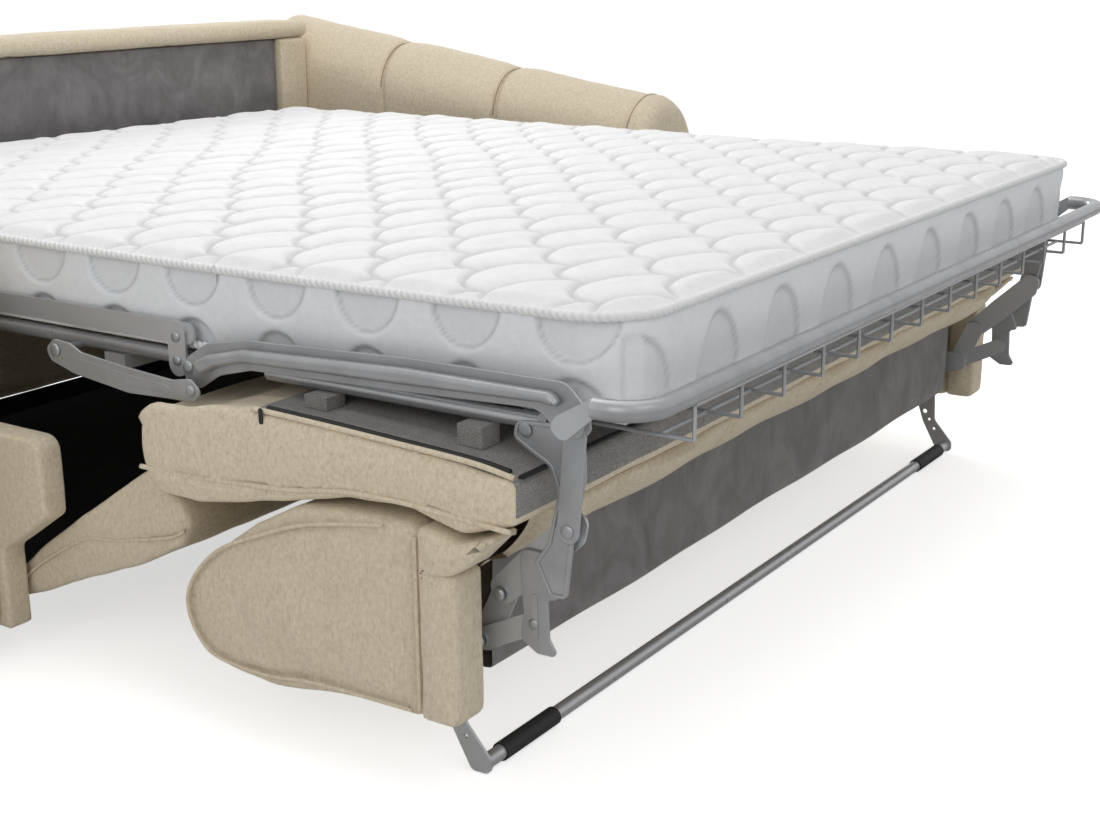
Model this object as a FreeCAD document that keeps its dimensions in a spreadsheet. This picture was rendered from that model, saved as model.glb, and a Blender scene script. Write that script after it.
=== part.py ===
import FreeCAD, Part
import math
import os

# Sleeper sofa with a pull-out bed, shown with the bed open.
# Frame: X across the sofa, Y from the bed's foot end to the sofa's back, Z up, floor at Z = 0.
# The sketches are drawn in a layout whose Y = 0 is the floor bar. Each piece's placement
# carries it to the frame's origin, under the middle of the whole sofa.

os.makedirs("parts", exist_ok=True)
doc = FreeCAD.newDocument("SleeperSofa")
V = FreeCAD.Vector

# Driving dimensions, in millimetres and degrees

sheet = doc.addObject("Spreadsheet::Sheet", "Sizes")
DIMENSIONS = [
    # Mattress and its frame
    ("mattressWidth", 1600), ("mattressFootY", -215), ("mattressLength", 1950),
    ("mattressThick", 120), ("mattressCorner", 85), ("mattressBaseZ", 487),
    ("tubeDia", 20), ("tubeZ", 472), ("meshThick", 4.7), ("meshEdge", 15),
    ("foldGap", 0.4), ("foldY", 405), ("softGap", 0.3),
    # How far the middle section drops and goes back when the bed is put away
    ("stowBack", 380), ("stowDrop", 405), ("headHingeY", 1390),
    # Sofa body
    ("armInnerX", 900), ("armWidth", 240), ("armFrontY", 775), ("armBackTop", 822),
    ("armFrontTop", 660), ("backFaceY", 1800), ("backDepth", 100), ("backTop", 775),
    ("rollHeight", 42), ("rollFrontY", 1770), ("postBottomZ", 540),
    ("panelThick", 3), ("panelBottomZ", 300), ("bodyBottom", 50), ("bottomThick", 4),
    ("trayBottom", 12), ("trayHeight", 42), ("trayWall", 6),
    ("bottomFrontY", 1000), ("footDia", 70), ("seamDepth", 5),
    ("cheekFrontY", 660), ("cheekTop", 350),
    # Cushions
    ("endDraw", 14), ("crown", 5), ("backFrontY", 72), ("cornerPadY", -38),
    # Linkage plates and pins
    ("plateThick", 4), ("linkWidth", 34), ("pinDia", 10), ("swingPinDia", 12),
    ("runFit", 0.05), ("rivetDia", 18), ("rivetHead", 2.5), ("swingWidth", 36),
    ("railHeight", 29), ("railZ", 509.5), ("railFrontY", 437),
    ("curvedThick", 6), ("foldRib", 15), ("tubeInset", 5), ("linkClear", 1), ("armClear", 12),
    # Foot-end rail, wire basket and floor bar
    ("railTubeDia", 25), ("footRailY", -257), ("footRailZ", 515),
    ("footRailBend", 48), ("wireDia", 5),
    ("wireCount", 14), ("barDia", 20), ("sleeveDia", 25), ("sleeveLength", 120),
    ("sleeveFromEnd", 36),
]
for row, (alias, value) in enumerate(DIMENSIONS, start=1):
    sheet.set(f"A{row}", alias)
    sheet.set(f"B{row}", str(value))
    sheet.setAlias(f"B{row}", alias)
lastRow = len(DIMENSIONS)
DERIVED = [
    ("frontY", "=footRailY - railTubeDia / 2"),
    ("backY", "=backFaceY + backDepth"),
    ("originShift", "=-(frontY + backY) / 2"),
    ("foldZ", "=mattressBaseZ + mattressThick + 2"),
    ("swingReach", "=(stowBack + stowDrop) / 2"),
    ("swingDrop", "=(stowDrop - stowBack) / 2"),
    # Half widths across the sofa
    ("tubeOuter", "=mattressWidth / 2 + tubeInset"),
    ("cushionHalf", "=armInnerX - 16"),
    ("cheekInnerX", "=armInnerX - 42"),
    ("postInnerX", "=armInnerX - 93"),
    ("apronHalf", "=armInnerX - 50"),
    ("footRailHalf", "=tubeOuter + 50"),
    ("basketHalf", "=tubeOuter - 74"),
    ("cornerPadX", "=cushionHalf - 61"),
    # The plate layers, from the inside out
    ("legLayer", "=tubeOuter - 15"),
    ("shortLayer", "=legLayer + plateThick"),
    ("leverLayer", "=shortLayer + plateThick + 3 * linkClear"),
    ("hookLayer", "=leverLayer + plateThick + linkClear"),
    ("curvedLayer", "=hookLayer + plateThick + softGap"),
    ("dropLayer", "=curvedLayer + curvedThick + 2 * linkClear - softGap"),
    ("foldLayer", "=dropLayer + plateThick + linkClear / 2"),
    ("lowerLayer", "=foldLayer + foldRib + plateThick + 2.5 * linkClear"),
    ("swingLayer", "=armInnerX - armClear"),
    ("knuckleLayer", "=tubeOuter + softGap"),
    ("railLayer", "=tubeOuter + 3 * linkClear"),
    ("earLayer", "=tubeOuter + 6 * linkClear"),
    ("backPanelHalf", "=legLayer - 25"),
]
for row, (alias, formula) in enumerate(DERIVED, start=lastRow + 1):
    sheet.set(f"A{row}", alias)
    sheet.set(f"B{row}", formula)
    sheet.setAlias(f"B{row}", alias)
doc.recompute()


def size(alias):
    return float(getattr(sheet, alias))


nodes = []


# Outlines in the side view, as (y, z) or (y, z, corner radius)

def rounded(points):
    """Straight edges and corner arcs of a closed outline."""
    count = len(points)
    corners = []
    for index, point in enumerate(points):
        here = V(point[0], point[1], 0)
        radius = point[2] if len(point) > 2 else 0
        before = V(points[index - 1][0], points[index - 1][1], 0) - here
        after = V(points[(index + 1) % count][0], points[(index + 1) % count][1], 0) - here
        if radius <= 0:
            corners.append((here, None, here))
            continue
        angle = before.getAngle(after)
        reach = radius / math.tan(angle / 2)
        reach = min(reach, 0.49 * before.Length, 0.49 * after.Length)
        radius = reach * math.tan(angle / 2)
        toBefore = V(before).normalize()
        toAfter = V(after).normalize()
        middle = (toBefore + toAfter).normalize()
        crest = here + middle * (radius / math.sin(angle / 2) - radius)
        corners.append((here + toBefore * reach, crest, here + toAfter * reach))
    edges = []
    for index, (start, crest, end) in enumerate(corners):
        if crest is not None:
            edges.append(Part.Arc(start, crest, end))
        following = corners[(index + 1) % count][0]
        if end.distanceToPoint(following) > 0.01:
            edges.append(Part.LineSegment(end, following))
    return edges


def capsule(start, end, width):
    """Outline of a straight link with round ends about two pivots."""
    first = V(start[0], start[1], 0)
    second = V(end[0], end[1], 0)
    along = (second - first).normalize()
    side = V(-along.y, along.x, 0) * (width / 2)
    tip = along * (width / 2)
    return [
        Part.LineSegment(first - side, second - side),
        Part.Arc(second - side, second + tip, second + side),
        Part.LineSegment(second + side, first + side),
        Part.Arc(first + side, first - tip, first - side),
    ]


def standUp(wire):
    """A flat outline turned onto the plane X = 0."""
    turned = wire.copy()
    turned.rotate(V(0, 0, 0), V(1, 1, 1), 120)
    return turned


# Pieces

def keep(piece, label):
    piece.Label = label
    nodes.append(piece)
    return piece


def place(piece, x="0", y="Sizes.originShift", z="0"):
    piece.setExpression("Placement.Base.x", x)
    piece.setExpression("Placement.Base.y", y)
    piece.setExpression("Placement.Base.z", z)


def sideOf(layer, thick, side):
    """Where a plate starts in X, for the right (1) or left (-1) side."""
    if side > 0:
        return f"Sizes.{layer}"
    return f"-Sizes.{layer} - Sizes.{thick}"


def newSketch(body, plane, name):
    sketch = body.newObject("Sketcher::SketchObject", name)
    for feature in body.Origin.OriginFeatures:
        if feature.Role == plane:
            sketch.AttachmentSupport = [(feature, "")]
    sketch.MapMode = "FlatFace"
    return sketch


def addHoles(sketch, holes):
    for y, z, diameter in holes:
        sketch.addGeometry(Part.Circle(V(y, z, 0), V(0, 0, 1), diameter / 2), False)


def sidePlate(label, edges, layer, side, thick="plateThick", holes=(), keepIt=True):
    """A flat plate in the side view, padded across the sofa."""
    body = doc.addObject("PartDesign::Body", label + "_body")
    sketch = newSketch(body, "YZ_Plane", label + "_outline")
    sketch.addGeometry(edges, False)
    addHoles(sketch, holes)
    pad = body.newObject("PartDesign::Pad", label + "_pad")
    pad.Profile = sketch
    pad.setExpression("Length", f"Sizes.{thick}")
    sketch.Visibility = False
    place(body, x=sideOf(layer, thick, side))
    if keepIt:
        keep(body, label)
    return body


def ribbedPlate(label, edges, ribEdges, layer, side, thick, rib, holes=()):
    """A pressed plate: its flat outline with a raised band on the outer side."""
    body = doc.addObject("PartDesign::Body", label + "_body")
    sketch = newSketch(body, "YZ_Plane", label + "_outline")
    sketch.addGeometry(edges, False)
    addHoles(sketch, holes)
    pad = body.newObject("PartDesign::Pad", label + "_pad")
    pad.Profile = sketch
    pad.setExpression("Length", f"Sizes.{thick}")
    pad.Reversed = side < 0
    ribSketch = newSketch(body, "YZ_Plane", label + "_rib")
    ribSketch.addGeometry(ribEdges, False)
    ribPad = body.newObject("PartDesign::Pad", label + "_rib_pad")
    ribPad.Profile = ribSketch
    ribPad.setExpression("Length", f"Sizes.{thick} + Sizes.{rib}")
    ribPad.Reversed = side < 0
    place(body, x=f"Sizes.{layer}" if side > 0 else f"-Sizes.{layer}")
    return keep(body, label)


def box(label, x0, x1, y0, y1, z0, z1, keepIt=True):
    """A block whose six faces are expressions."""
    block = doc.addObject("Part::Box", label + "_box")
    block.setExpression("Length", f"({x1}) - ({x0})")
    block.setExpression("Width", f"({y1}) - ({y0})")
    block.setExpression("Height", f"({z1}) - ({z0})")
    place(block, x=x0, y=f"({y0}) + Sizes.originShift", z=z0)
    if keepIt:
        keep(block, label)
    return block


def crossPin(name, y, z, x0, x1, diameter):
    """A round pin or tube along X between two X expressions."""
    pin = doc.addObject("Part::Cylinder", name)
    pin.setExpression("Radius", f"({diameter}) / 2")
    pin.setExpression("Height", f"({x1}) - ({x0})")
    pin.Placement = FreeCAD.Placement(V(0, 0, 0), FreeCAD.Rotation(V(0, 1, 0), 90))
    place(pin, x=x0, y=f"({y}) + Sizes.originShift", z=z)
    return pin


def longTube(name, x, z, y0, y1, diameter):
    """A round tube or rod along Y between two Y expressions."""
    tube = doc.addObject("Part::Cylinder", name)
    tube.setExpression("Radius", f"({diameter}) / 2")
    tube.setExpression("Height", f"({y1}) - ({y0})")
    tube.Placement = FreeCAD.Placement(V(0, 0, 0), FreeCAD.Rotation(V(1, 0, 0), -90))
    place(tube, x=x, y=f"({y0}) + Sizes.originShift", z=z)
    return tube


def upTube(name, x, y, z0, z1, diameter):
    """A round rod along Z between two Z expressions."""
    rod = doc.addObject("Part::Cylinder", name)
    rod.setExpression("Radius", f"({diameter}) / 2")
    rod.setExpression("Height", f"({z1}) - ({z0})")
    place(rod, x=x, y=f"({y}) + Sizes.originShift", z=z0)
    return rod


def join(label, pieces):
    fuse = doc.addObject("Part::MultiFuse", label + "_joined")
    fuse.Shapes = pieces
    return keep(fuse, label)


def group(label, pieces):
    """Separate solids that share one node."""
    compound = doc.addObject("Part::Compound", label + "_group")
    compound.Links = pieces
    return keep(compound, label)


def feature(label, shape, z="0"):
    """A piece made straight from a shape in the layout."""
    piece = doc.addObject("Part::Feature", label + "_shape")
    piece.Shape = shape
    place(piece, z=z)
    return keep(piece, label)


def mirrored(edge, side):
    """X expression of a distance from the middle, on one side."""
    return f"{side} * ({edge})"


def spanX(inner, outer, side):
    """Two X expressions in rising order, between two distances on one side."""
    if side > 0:
        return inner, outer
    return f"-({outer})", f"-({inner})"


# The outline of a padded cushion is drawn in towards its ends and crowned in the middle

def cushionShape(points, half, draw, bulge, anchor=None):
    """A loft across the sofa; the anchor is the (y, z) that no section moves."""
    wire = standUp(Part.Wire([edge.toShape() for edge in rounded(points)]))
    centre = V(0, *anchor) if anchor else wire.BoundBox.Center
    extent = max(wire.BoundBox.YLength, wire.BoundBox.ZLength)
    stations = []
    for share, inset in ((1.0, 1.0), (0.985, 0.42), (0.95, 0.1), (0.86, 0.0)):
        stations.append((share, inset))
    sections = []
    for sign in (-1, 1):
        ordered = stations if sign < 0 else reversed(stations)
        for share, inset in ordered:
            full = 1 - 2 * draw * inset / extent
            section = wire.copy()
            section.scale(full, centre)
            section.translate(V(sign * half * share, 0, 0))
            sections.append(section)
        if sign < 0:
            middle = wire.copy()
            middle.scale(1 + 2 * bulge / extent, centre)
            sections.append(middle)
    return Part.makeLoft(sections, True, True)


SIDES = (("left", -1), ("right", 1))

# Sofa body: arms, back, cheeks, bottom and feet

armInner = size("armInnerX")
armOuter = armInner + size("armWidth")
armRound = size("armWidth") / 2
armStart = size("armFrontY") + 65
armSlope = (size("armBackTop") - size("armFrontTop")) / (size("backY") - armStart)
seamYs = (1190, 1530)


def armSection(y, top, inset):
    """One cross-section of a padded arm: flat sides under a round top."""
    inner = armInner
    outer = armOuter - inset
    shoulder = top - armRound
    crest = (inner + outer) / 2
    lift = armRound * math.sqrt(0.5)
    low = size("bodyBottom") + inset
    corners = [V(inner, y, low), V(inner, y, shoulder), V(crest, y, top),
               V(outer, y, shoulder), V(outer, y, low)]
    arcs = [
        Part.LineSegment(corners[0], corners[1]).toShape(),
        Part.Arc(corners[1], V(crest - (crest - inner) * math.sqrt(0.5), y, shoulder + lift),
                 corners[2]).toShape(),
        Part.Arc(corners[2], V(crest + (outer - crest) * math.sqrt(0.5), y, shoulder + lift),
                 corners[3]).toShape(),
        Part.LineSegment(corners[3], corners[4]).toShape(),
        Part.LineSegment(corners[4], corners[0]).toShape(),
    ]
    return Part.Wire(arcs)


def armTop(y):
    return size("armBackTop") - armSlope * (size("backY") - y)


armStations = [(size("armFrontY"), armTop(armStart) - 62, 22),
               (size("armFrontY") + 8, armTop(armStart) - 30, 9),
               (size("armFrontY") + 30, armTop(armStart) - 8, 2),
               (armStart + 10, armTop(armStart + 10), 0)]
for seamY in seamYs:
    armStations.append((seamY - 14, armTop(seamY - 14), 0))
    armStations.append((seamY, armTop(seamY) - size("seamDepth"), size("seamDepth") / 2))
    armStations.append((seamY + 14, armTop(seamY + 14), 0))
armStations.append((size("backY"), size("armBackTop"), 0))
for name, side in SIDES:
    arm = Part.makeLoft([armSection(*station) for station in armStations], True, True)
    if side < 0:
        arm = arm.mirror(V(0, 0, 0), V(1, 0, 0))
    feature(f"arm_{name}", arm)

box("back_shell", "-Sizes.armInnerX", "Sizes.armInnerX", "Sizes.backFaceY", "Sizes.backY",
    "Sizes.bodyBottom", "Sizes.backTop")
box("back_panel", "-Sizes.postInnerX", "Sizes.postInnerX",
    "Sizes.backFaceY - Sizes.panelThick", "Sizes.backFaceY", "Sizes.panelBottomZ", "Sizes.backTop")
postPieces = []
for name, side in SIDES:
    left, right = spanX("Sizes.postInnerX", "Sizes.armInnerX", side)
    postPieces.append(box(f"back_post_{name}", left, right, "Sizes.rollFrontY + 4", "Sizes.backFaceY",
                          "Sizes.postBottomZ", "Sizes.backTop", keepIt=False))
group("back_posts", postPieces)

rollTop = size("backTop") + size("rollHeight")
rollPoints = [(size("rollFrontY"), size("backTop"), 12), (size("backY"), size("backTop"), 2),
              (size("backY"), rollTop, 20), (size("rollFrontY"), rollTop, 20)]
rollBody = doc.addObject("PartDesign::Body", "back_roll_body")
rollSketch = newSketch(rollBody, "YZ_Plane", "back_roll_outline")
rollSketch.addGeometry(rounded(rollPoints), False)
rollPad = rollBody.newObject("PartDesign::Pad", "back_roll_pad")
rollPad.Profile = rollSketch
rollPad.setExpression("Length", "2 * Sizes.armInnerX")
place(rollBody, x="-Sizes.armInnerX")
keep(rollBody, "back_roll")

trayTop = "Sizes.trayBottom + Sizes.trayHeight"
trayPieces = [
    box("tray_floor", "-Sizes.armInnerX", "Sizes.armInnerX", "Sizes.bottomFrontY", "Sizes.backFaceY",
        "Sizes.trayBottom", "Sizes.trayBottom + Sizes.bottomThick", keepIt=False),
    box("tray_rear", "-Sizes.armInnerX", "Sizes.armInnerX", "Sizes.backFaceY - Sizes.trayWall",
        "Sizes.backFaceY", "Sizes.trayBottom", trayTop, keepIt=False),
]
for name, side in SIDES:
    left, right = spanX("Sizes.armInnerX - Sizes.trayWall", "Sizes.armInnerX", side)
    trayPieces.append(box(f"tray_side_{name}", left, right, "Sizes.bottomFrontY", "Sizes.backFaceY",
                          "Sizes.trayBottom", trayTop, keepIt=False))
join("base_tray", trayPieces)

cheekBack = size("armFrontY") + 25
cheekPoints = [(size("cheekFrontY"), size("cheekTop"), 22), (size("cheekFrontY"), 238, 10),
               (cheekBack - 40, 172, 14), (cheekBack - 40, size("bodyBottom"), 4),
               (cheekBack + 15, size("bodyBottom"), 4), (cheekBack + 15, size("cheekTop"), 10)]
for name, side in SIDES:
    cheekBody = doc.addObject("PartDesign::Body", f"front_cheek_{name}_body")
    cheekSketch = newSketch(cheekBody, "YZ_Plane", f"front_cheek_{name}_outline")
    cheekSketch.addGeometry(rounded(cheekPoints), False)
    cheekPad = cheekBody.newObject("PartDesign::Pad", f"front_cheek_{name}_pad")
    cheekPad.Profile = cheekSketch
    cheekPad.setExpression("Length", "Sizes.armInnerX - Sizes.cheekInnerX")
    place(cheekBody, x="Sizes.cheekInnerX" if side > 0 else "-Sizes.armInnerX")
    keep(cheekBody, f"front_cheek_{name}")

footPieces = []
for name, side in SIDES:
    footX = mirrored("Sizes.armInnerX + Sizes.armWidth / 2", side)
    for spot, y in (("front", "Sizes.armFrontY + 110"), ("middle", "Sizes.headHingeY - 50"),
                    ("rear", "Sizes.backY - 60")):
        footPieces.append(upTube(f"foot_{name}_{spot}", footX, y, "0", "Sizes.bodyBottom",
                                 "Sizes.footDia"))
group("feet", footPieces)

# Pivots of the put-away motion

foldY = size("foldY")
hingeY = size("headHingeY")
tubeZ = size("tubeZ")
reach = size("swingReach")
drop = size("swingDrop")
headPivot = (hingeY + reach, tubeZ - drop)
swingPin = (850, tubeZ)
swingPivot = (swingPin[0] + reach, tubeZ - drop)
plate = "Sizes.plateThick"

for name, side in SIDES:
    left, right = spanX("Sizes.swingLayer - 1.5", "Sizes.armInnerX - Sizes.plateThick", side)
    pin = crossPin(f"swing_pivot_pin_{name}", str(swingPivot[0]), str(swingPivot[1]), left, right,
                   "Sizes.swingPinDia")
    flange = sidePlate(f"swing_bracket_plate_{name}",
                       rounded([(swingPivot[0] - 60, swingPivot[1] - 40, 12),
                                (swingPivot[0] + 60, swingPivot[1] - 40, 12),
                                (swingPivot[0] + 60, swingPivot[1] + 40, 12),
                                (swingPivot[0] - 60, swingPivot[1] + 40, 12)]),
                       "armInnerX", -side, keepIt=False)
    flange.setExpression("Placement.Base.x",
                         "Sizes.armInnerX - Sizes.plateThick" if side > 0 else "-Sizes.armInnerX")
    join(f"swing_bracket_{name}", [pin, flange])

for name, side in SIDES:
    ear = sidePlate(f"head_bracket_plate_{name}",
                    rounded([(headPivot[0] - 12, headPivot[1] - 12, 11),
                             (size("backFaceY"), headPivot[1] - 34, 0),
                             (size("backFaceY"), headPivot[1] + 34, 0),
                             (headPivot[0] - 12, headPivot[1] + 12, 11)]),
                    "foldLayer", side, keepIt=False)
    left, right = spanX("Sizes.tubeOuter + Sizes.linkClear", "Sizes.foldLayer", side)
    pin = crossPin(f"head_pivot_pin_{name}", str(headPivot[0]), str(headPivot[1]), left, right,
                   "Sizes.swingPinDia")
    join(f"head_bracket_{name}", [ear, pin])

# Swing arms carry the front of the middle section

for name, side in SIDES:
    swingHole = size("swingPinDia") + 2 * size("runFit")
    sidePlate(f"swing_arm_{name}", capsule(swingPin, swingPivot, size("swingWidth")), "swingLayer",
              side, holes=[(*swingPin, swingHole), (*swingPivot, swingHole)])

# Bed frame sections: side tubes, cross tubes, mesh and mattress

tubeOuter = "Sizes.tubeOuter"
sideTubeX = f"{tubeOuter} - Sizes.tubeDia / 2"


def frameTubes(section, y0, y1, crossYs):
    tubes = []
    for name, side in SIDES:
        tubes.append(longTube(f"{section}_tube_{name}", mirrored(sideTubeX, side), "Sizes.tubeZ",
                              y0, y1, "Sizes.tubeDia"))
    for index, y in enumerate(crossYs):
        tubes.append(crossPin(f"{section}_cross_{index}", y, "Sizes.tubeZ", f"-({sideTubeX})",
                              sideTubeX, "Sizes.tubeDia"))
    return tubes


def mesh(label, y0, y1):
    edge = "(Sizes.mattressWidth / 2 - Sizes.meshEdge)"
    return box(label, f"-{edge}", edge, y0, y1, "Sizes.tubeZ + Sizes.tubeDia / 2",
               "Sizes.tubeZ + Sizes.tubeDia / 2 + Sizes.meshThick")


def mattressShape(y0, y1, footCorners, headCorners):
    """A slab with round plan corners and softened top and bottom edges."""
    half = size("mattressWidth") / 2
    corner = size("mattressCorner")
    foot = corner if footCorners else 0
    head = corner if headCorners else 0
    plan = rounded([(-half, y0, foot), (half, y0, foot), (half, y1, head), (-half, y1, head)])
    wire = Part.Wire([edge.toShape() for edge in plan])
    return Part.Face(wire).extrude(V(0, 0, size("mattressThick")))


footGap = 18
footFrame = frameTubes("foot", "-95", f"Sizes.foldY - {footGap} - 65", ["-70", "300"])
middleFrame = frameTubes("middle", f"Sizes.foldY + {footGap}", f"Sizes.headHingeY - {footGap}",
                         ["Sizes.foldY + 60", "Sizes.headHingeY - 60"])
headFrame = frameTubes("head", f"Sizes.headHingeY + {footGap}",
                       "Sizes.mattressFootY + Sizes.mattressLength - 20",
                       ["Sizes.headHingeY + 60", "Sizes.mattressFootY + Sizes.mattressLength - 40"])

# Hinge plates between the middle and head sections, and the head section's ears

pinHole = size("pinDia") + 2 * size("runFit")
knuckleWidth = 24
swingHole = size("swingPinDia") + 2 * size("runFit")
for name, side in SIDES:
    innerPlate = sidePlate(f"middle_knuckle_{name}",
                           capsule((hingeY - 60, tubeZ), (hingeY, tubeZ), knuckleWidth),
                           "knuckleLayer", side, holes=[(hingeY, tubeZ, pinHole)], keepIt=False)
    middleFrame.append(innerPlate)
    left, right = spanX(f"{tubeOuter} - 4", f"Sizes.knuckleLayer + {plate} / 2", side)
    middleFrame.append(crossPin(f"middle_knuckle_weld_{name}", str(hingeY - 60), "Sizes.tubeZ",
                                left, right, "Sizes.pinDia"))
    outerPlate = sidePlate(f"head_knuckle_{name}",
                           capsule((hingeY + 60, tubeZ), (hingeY, tubeZ), knuckleWidth),
                           "earLayer", side, keepIt=False)
    headFrame.append(outerPlate)
    left, right = spanX(f"{tubeOuter} - 4", "Sizes.earLayer", side)
    headFrame.append(crossPin(f"head_knuckle_weld_{name}", str(hingeY + 60), "Sizes.tubeZ",
                              left, right, "Sizes.pinDia"))
    left, right = spanX(f"{tubeOuter} - 1", "Sizes.earLayer", side)
    headFrame.append(crossPin(f"head_knuckle_pin_{name}", str(hingeY), "Sizes.tubeZ",
                              left, right, "Sizes.pinDia"))
    earY = size("mattressFootY") + size("mattressLength") - 60
    ear = sidePlate(f"head_ear_{name}", capsule((earY, tubeZ), headPivot, 22),
                    "earLayer", side, holes=[(*headPivot, swingHole)], keepIt=False)
    headFrame.append(ear)
    left, right = spanX(f"{tubeOuter} - 4", "Sizes.earLayer", side)
    headFrame.append(crossPin(f"head_ear_weld_{name}", str(earY), "Sizes.tubeZ",
                              left, right, "Sizes.pinDia"))

# Link pivots of the fold linkage, in the side view

frontPivot = (-87, 466)
dropTop = (-158, 486)
leverTop = (-147, 358)
hookTop = (-87.5, 301)
shortTop = (-43.5, 256)
shortFoot = (-12.5, 189)
hookFoot = (-92, 229)
lowerRear = (668, 467)

# The fold link's rear pivot sees the front one at equal distances in both end positions
toFoldY = foldY - dropTop[0]
toFoldZ = size("foldZ") - dropTop[1]
rearDrop = size("foldZ") - 470
foldRear = (foldY + rearDrop * toFoldZ / toFoldY, 470)

for name, side in SIDES:
    left, right = spanX(f"{tubeOuter} - 4", "Sizes.foldLayer + Sizes.plateThick + 1", side)
    middleFrame.append(crossPin(f"fold_stud_{name}", str(foldRear[0]), str(foldRear[1]),
                                left, right, "Sizes.pinDia"))
    left, right = spanX(f"{tubeOuter} - 4", "Sizes.lowerLayer + Sizes.plateThick + 1", side)
    middleFrame.append(crossPin(f"lower_stud_{name}", str(lowerRear[0]), str(lowerRear[1]),
                                left, right, "Sizes.pinDia"))
    left, right = spanX(f"{tubeOuter} - 4", "Sizes.swingLayer + Sizes.plateThick + 1", side)
    middleFrame.append(crossPin(f"swing_stud_{name}", str(swingPin[0]), "Sizes.tubeZ", left, right,
                                "Sizes.swingPinDia"))
    left, right = spanX(f"{tubeOuter} - 4", "Sizes.curvedLayer + Sizes.curvedThick + 0.8", side)
    footFrame.append(crossPin(f"front_stud_{name}", str(frontPivot[0]), str(frontPivot[1]),
                              left, right, "Sizes.pinDia"))

join("foot_frame", footFrame)
join("middle_frame", middleFrame)
join("head_frame", headFrame)
mesh("foot_mesh", "Sizes.mattressFootY + Sizes.meshEdge", "Sizes.foldY - Sizes.meshEdge")
mesh("middle_mesh", "Sizes.foldY + Sizes.meshEdge",
     "Sizes.headHingeY - Sizes.mattressThick - Sizes.meshEdge")
mesh("head_mesh", "Sizes.headHingeY + Sizes.mattressThick + Sizes.meshEdge",
     "Sizes.mattressFootY + Sizes.mattressLength - Sizes.meshEdge")

mattressHeadY = size("mattressFootY") + size("mattressLength")
foldHalfGap = size("foldGap") / 2
bendHalf = size("mattressThick") + (size("mattressBaseZ") - tubeZ) + 2
mattressSpans = (
    ("mattress_foot", size("mattressFootY"), foldY - foldHalfGap, True, False),
    ("mattress_middle", foldY + foldHalfGap, hingeY - bendHalf, False, False),
    ("mattress_bend", hingeY - bendHalf + size("foldGap"), hingeY + bendHalf - size("foldGap"),
     False, False),
    ("mattress_head", hingeY + bendHalf, mattressHeadY, False, True),
)
for label, start, end, footCorners, headCorners in mattressSpans:
    feature(label, mattressShape(start, end, footCorners, headCorners), z="Sizes.mattressBaseZ")

# Upper rails, their brackets and the crossbar of the middle section

railLow = size("railZ") - size("railHeight") / 2
railHigh = size("railZ") + size("railHeight") / 2
railEnd = hingeY - 30
railOutline = [(size("railFrontY"), railLow, 14), (railEnd, railLow, 4), (railEnd, railHigh, 4),
               (size("railFrontY"), railHigh, 14)]
for name, side in SIDES:
    sidePlate(f"upper_rail_{name}", rounded(railOutline), "railLayer", side)
bracketPieces = []
for name, side in SIDES:
    for spot, y in (("front", 466), ("rear", railEnd - 100)):
        strap = sidePlate(f"rail_strap_{name}_{spot}",
                          capsule((y, tubeZ - 5), (y, railHigh - 14), 32), "railLayer",
                          side, keepIt=False)
        strap.setExpression("Placement.Base.x", "Sizes.railLayer + Sizes.plateThick" if side > 0
                            else "-Sizes.railLayer - 2 * Sizes.plateThick")
        left, right = spanX(tubeOuter, "Sizes.railLayer + Sizes.plateThick", side)
        bolt = crossPin(f"rail_bolt_{name}_{spot}", str(y), "Sizes.tubeZ", left, right,
                        "Sizes.pinDia")
        fuse = doc.addObject("Part::MultiFuse", f"rail_bracket_{name}_{spot}")
        fuse.Shapes = [strap, bolt]
        bracketPieces.append(fuse)
group("rail_brackets", bracketPieces)

crossbarTop = "Sizes.tubeZ - Sizes.tubeDia / 2"
box("middle_crossbar", f"-({tubeOuter})", tubeOuter, "580", "620", f"{crossbarTop} - 20", crossbarTop)

# Fold links, lower links and drop links

foldOutline = [(-183, 476, 12), (-178, 505, 30), (-150, 533, 26), (70, 531, 40), (330, 519, 60),
               (400, 506, 40), (446, 478, 26), (442, 446, 16), (416, 444, 14), (380, 466, 40),
               (325, 480, 40), (90, 488, 60), (-112, 497, 30), (-140, 470, 14)]
foldRibOutline = [(-150, 505, 12), (-138, 522, 20), (70, 521, 40), (328, 509, 60), (392, 494, 30),
                  (420, 480, 10), (404, 466, 10), (376, 480, 30), (327, 492, 40), (90, 500, 60),
                  (-122, 508, 20)]
for name, side in SIDES:
    ribbedPlate(f"fold_link_{name}", rounded(foldOutline), rounded(foldRibOutline), "foldLayer", side,
                "plateThick", "foldRib", holes=[(*foldRear, pinHole)])

lowerOutline = [(690, 466, 14), (672, 482, 14), (640, 480, 20), (618, 470, 20), (540, 462, 30),
                (445, 456, 20), (412, 462, 12), (392, 446, 14), (408, 430, 12), (440, 430, 20),
                (530, 426, 30), (636, 438, 20), (680, 450, 14)]
for name, side in SIDES:
    sidePlate(f"lower_link_{name}", rounded(lowerOutline), "lowerLayer", side,
              holes=[(*lowerRear, pinHole)])
    sidePlate(f"drop_link_{name}", capsule(dropTop, leverTop, 30), "dropLayer", side)

# Curved arms and the linkage that carries the back unit

curvedOutline = [(-70, 455, 10), (-74, 476, 12), (-128, 479, 24), (-166, 465, 26), (-167, 420, 30),
                 (-150, 345, 30), (-141, 272, 8), (-118, 270, 8), (-98, 310, 6), (-116, 336, 10),
                 (-131, 400, 16), (-120, 428, 12), (-96, 440, 12)]
for name, side in SIDES:
    sidePlate(f"curved_arm_{name}", rounded(curvedOutline), "curvedLayer", side, thick="curvedThick",
              holes=[(*frontPivot, pinHole)])

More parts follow.
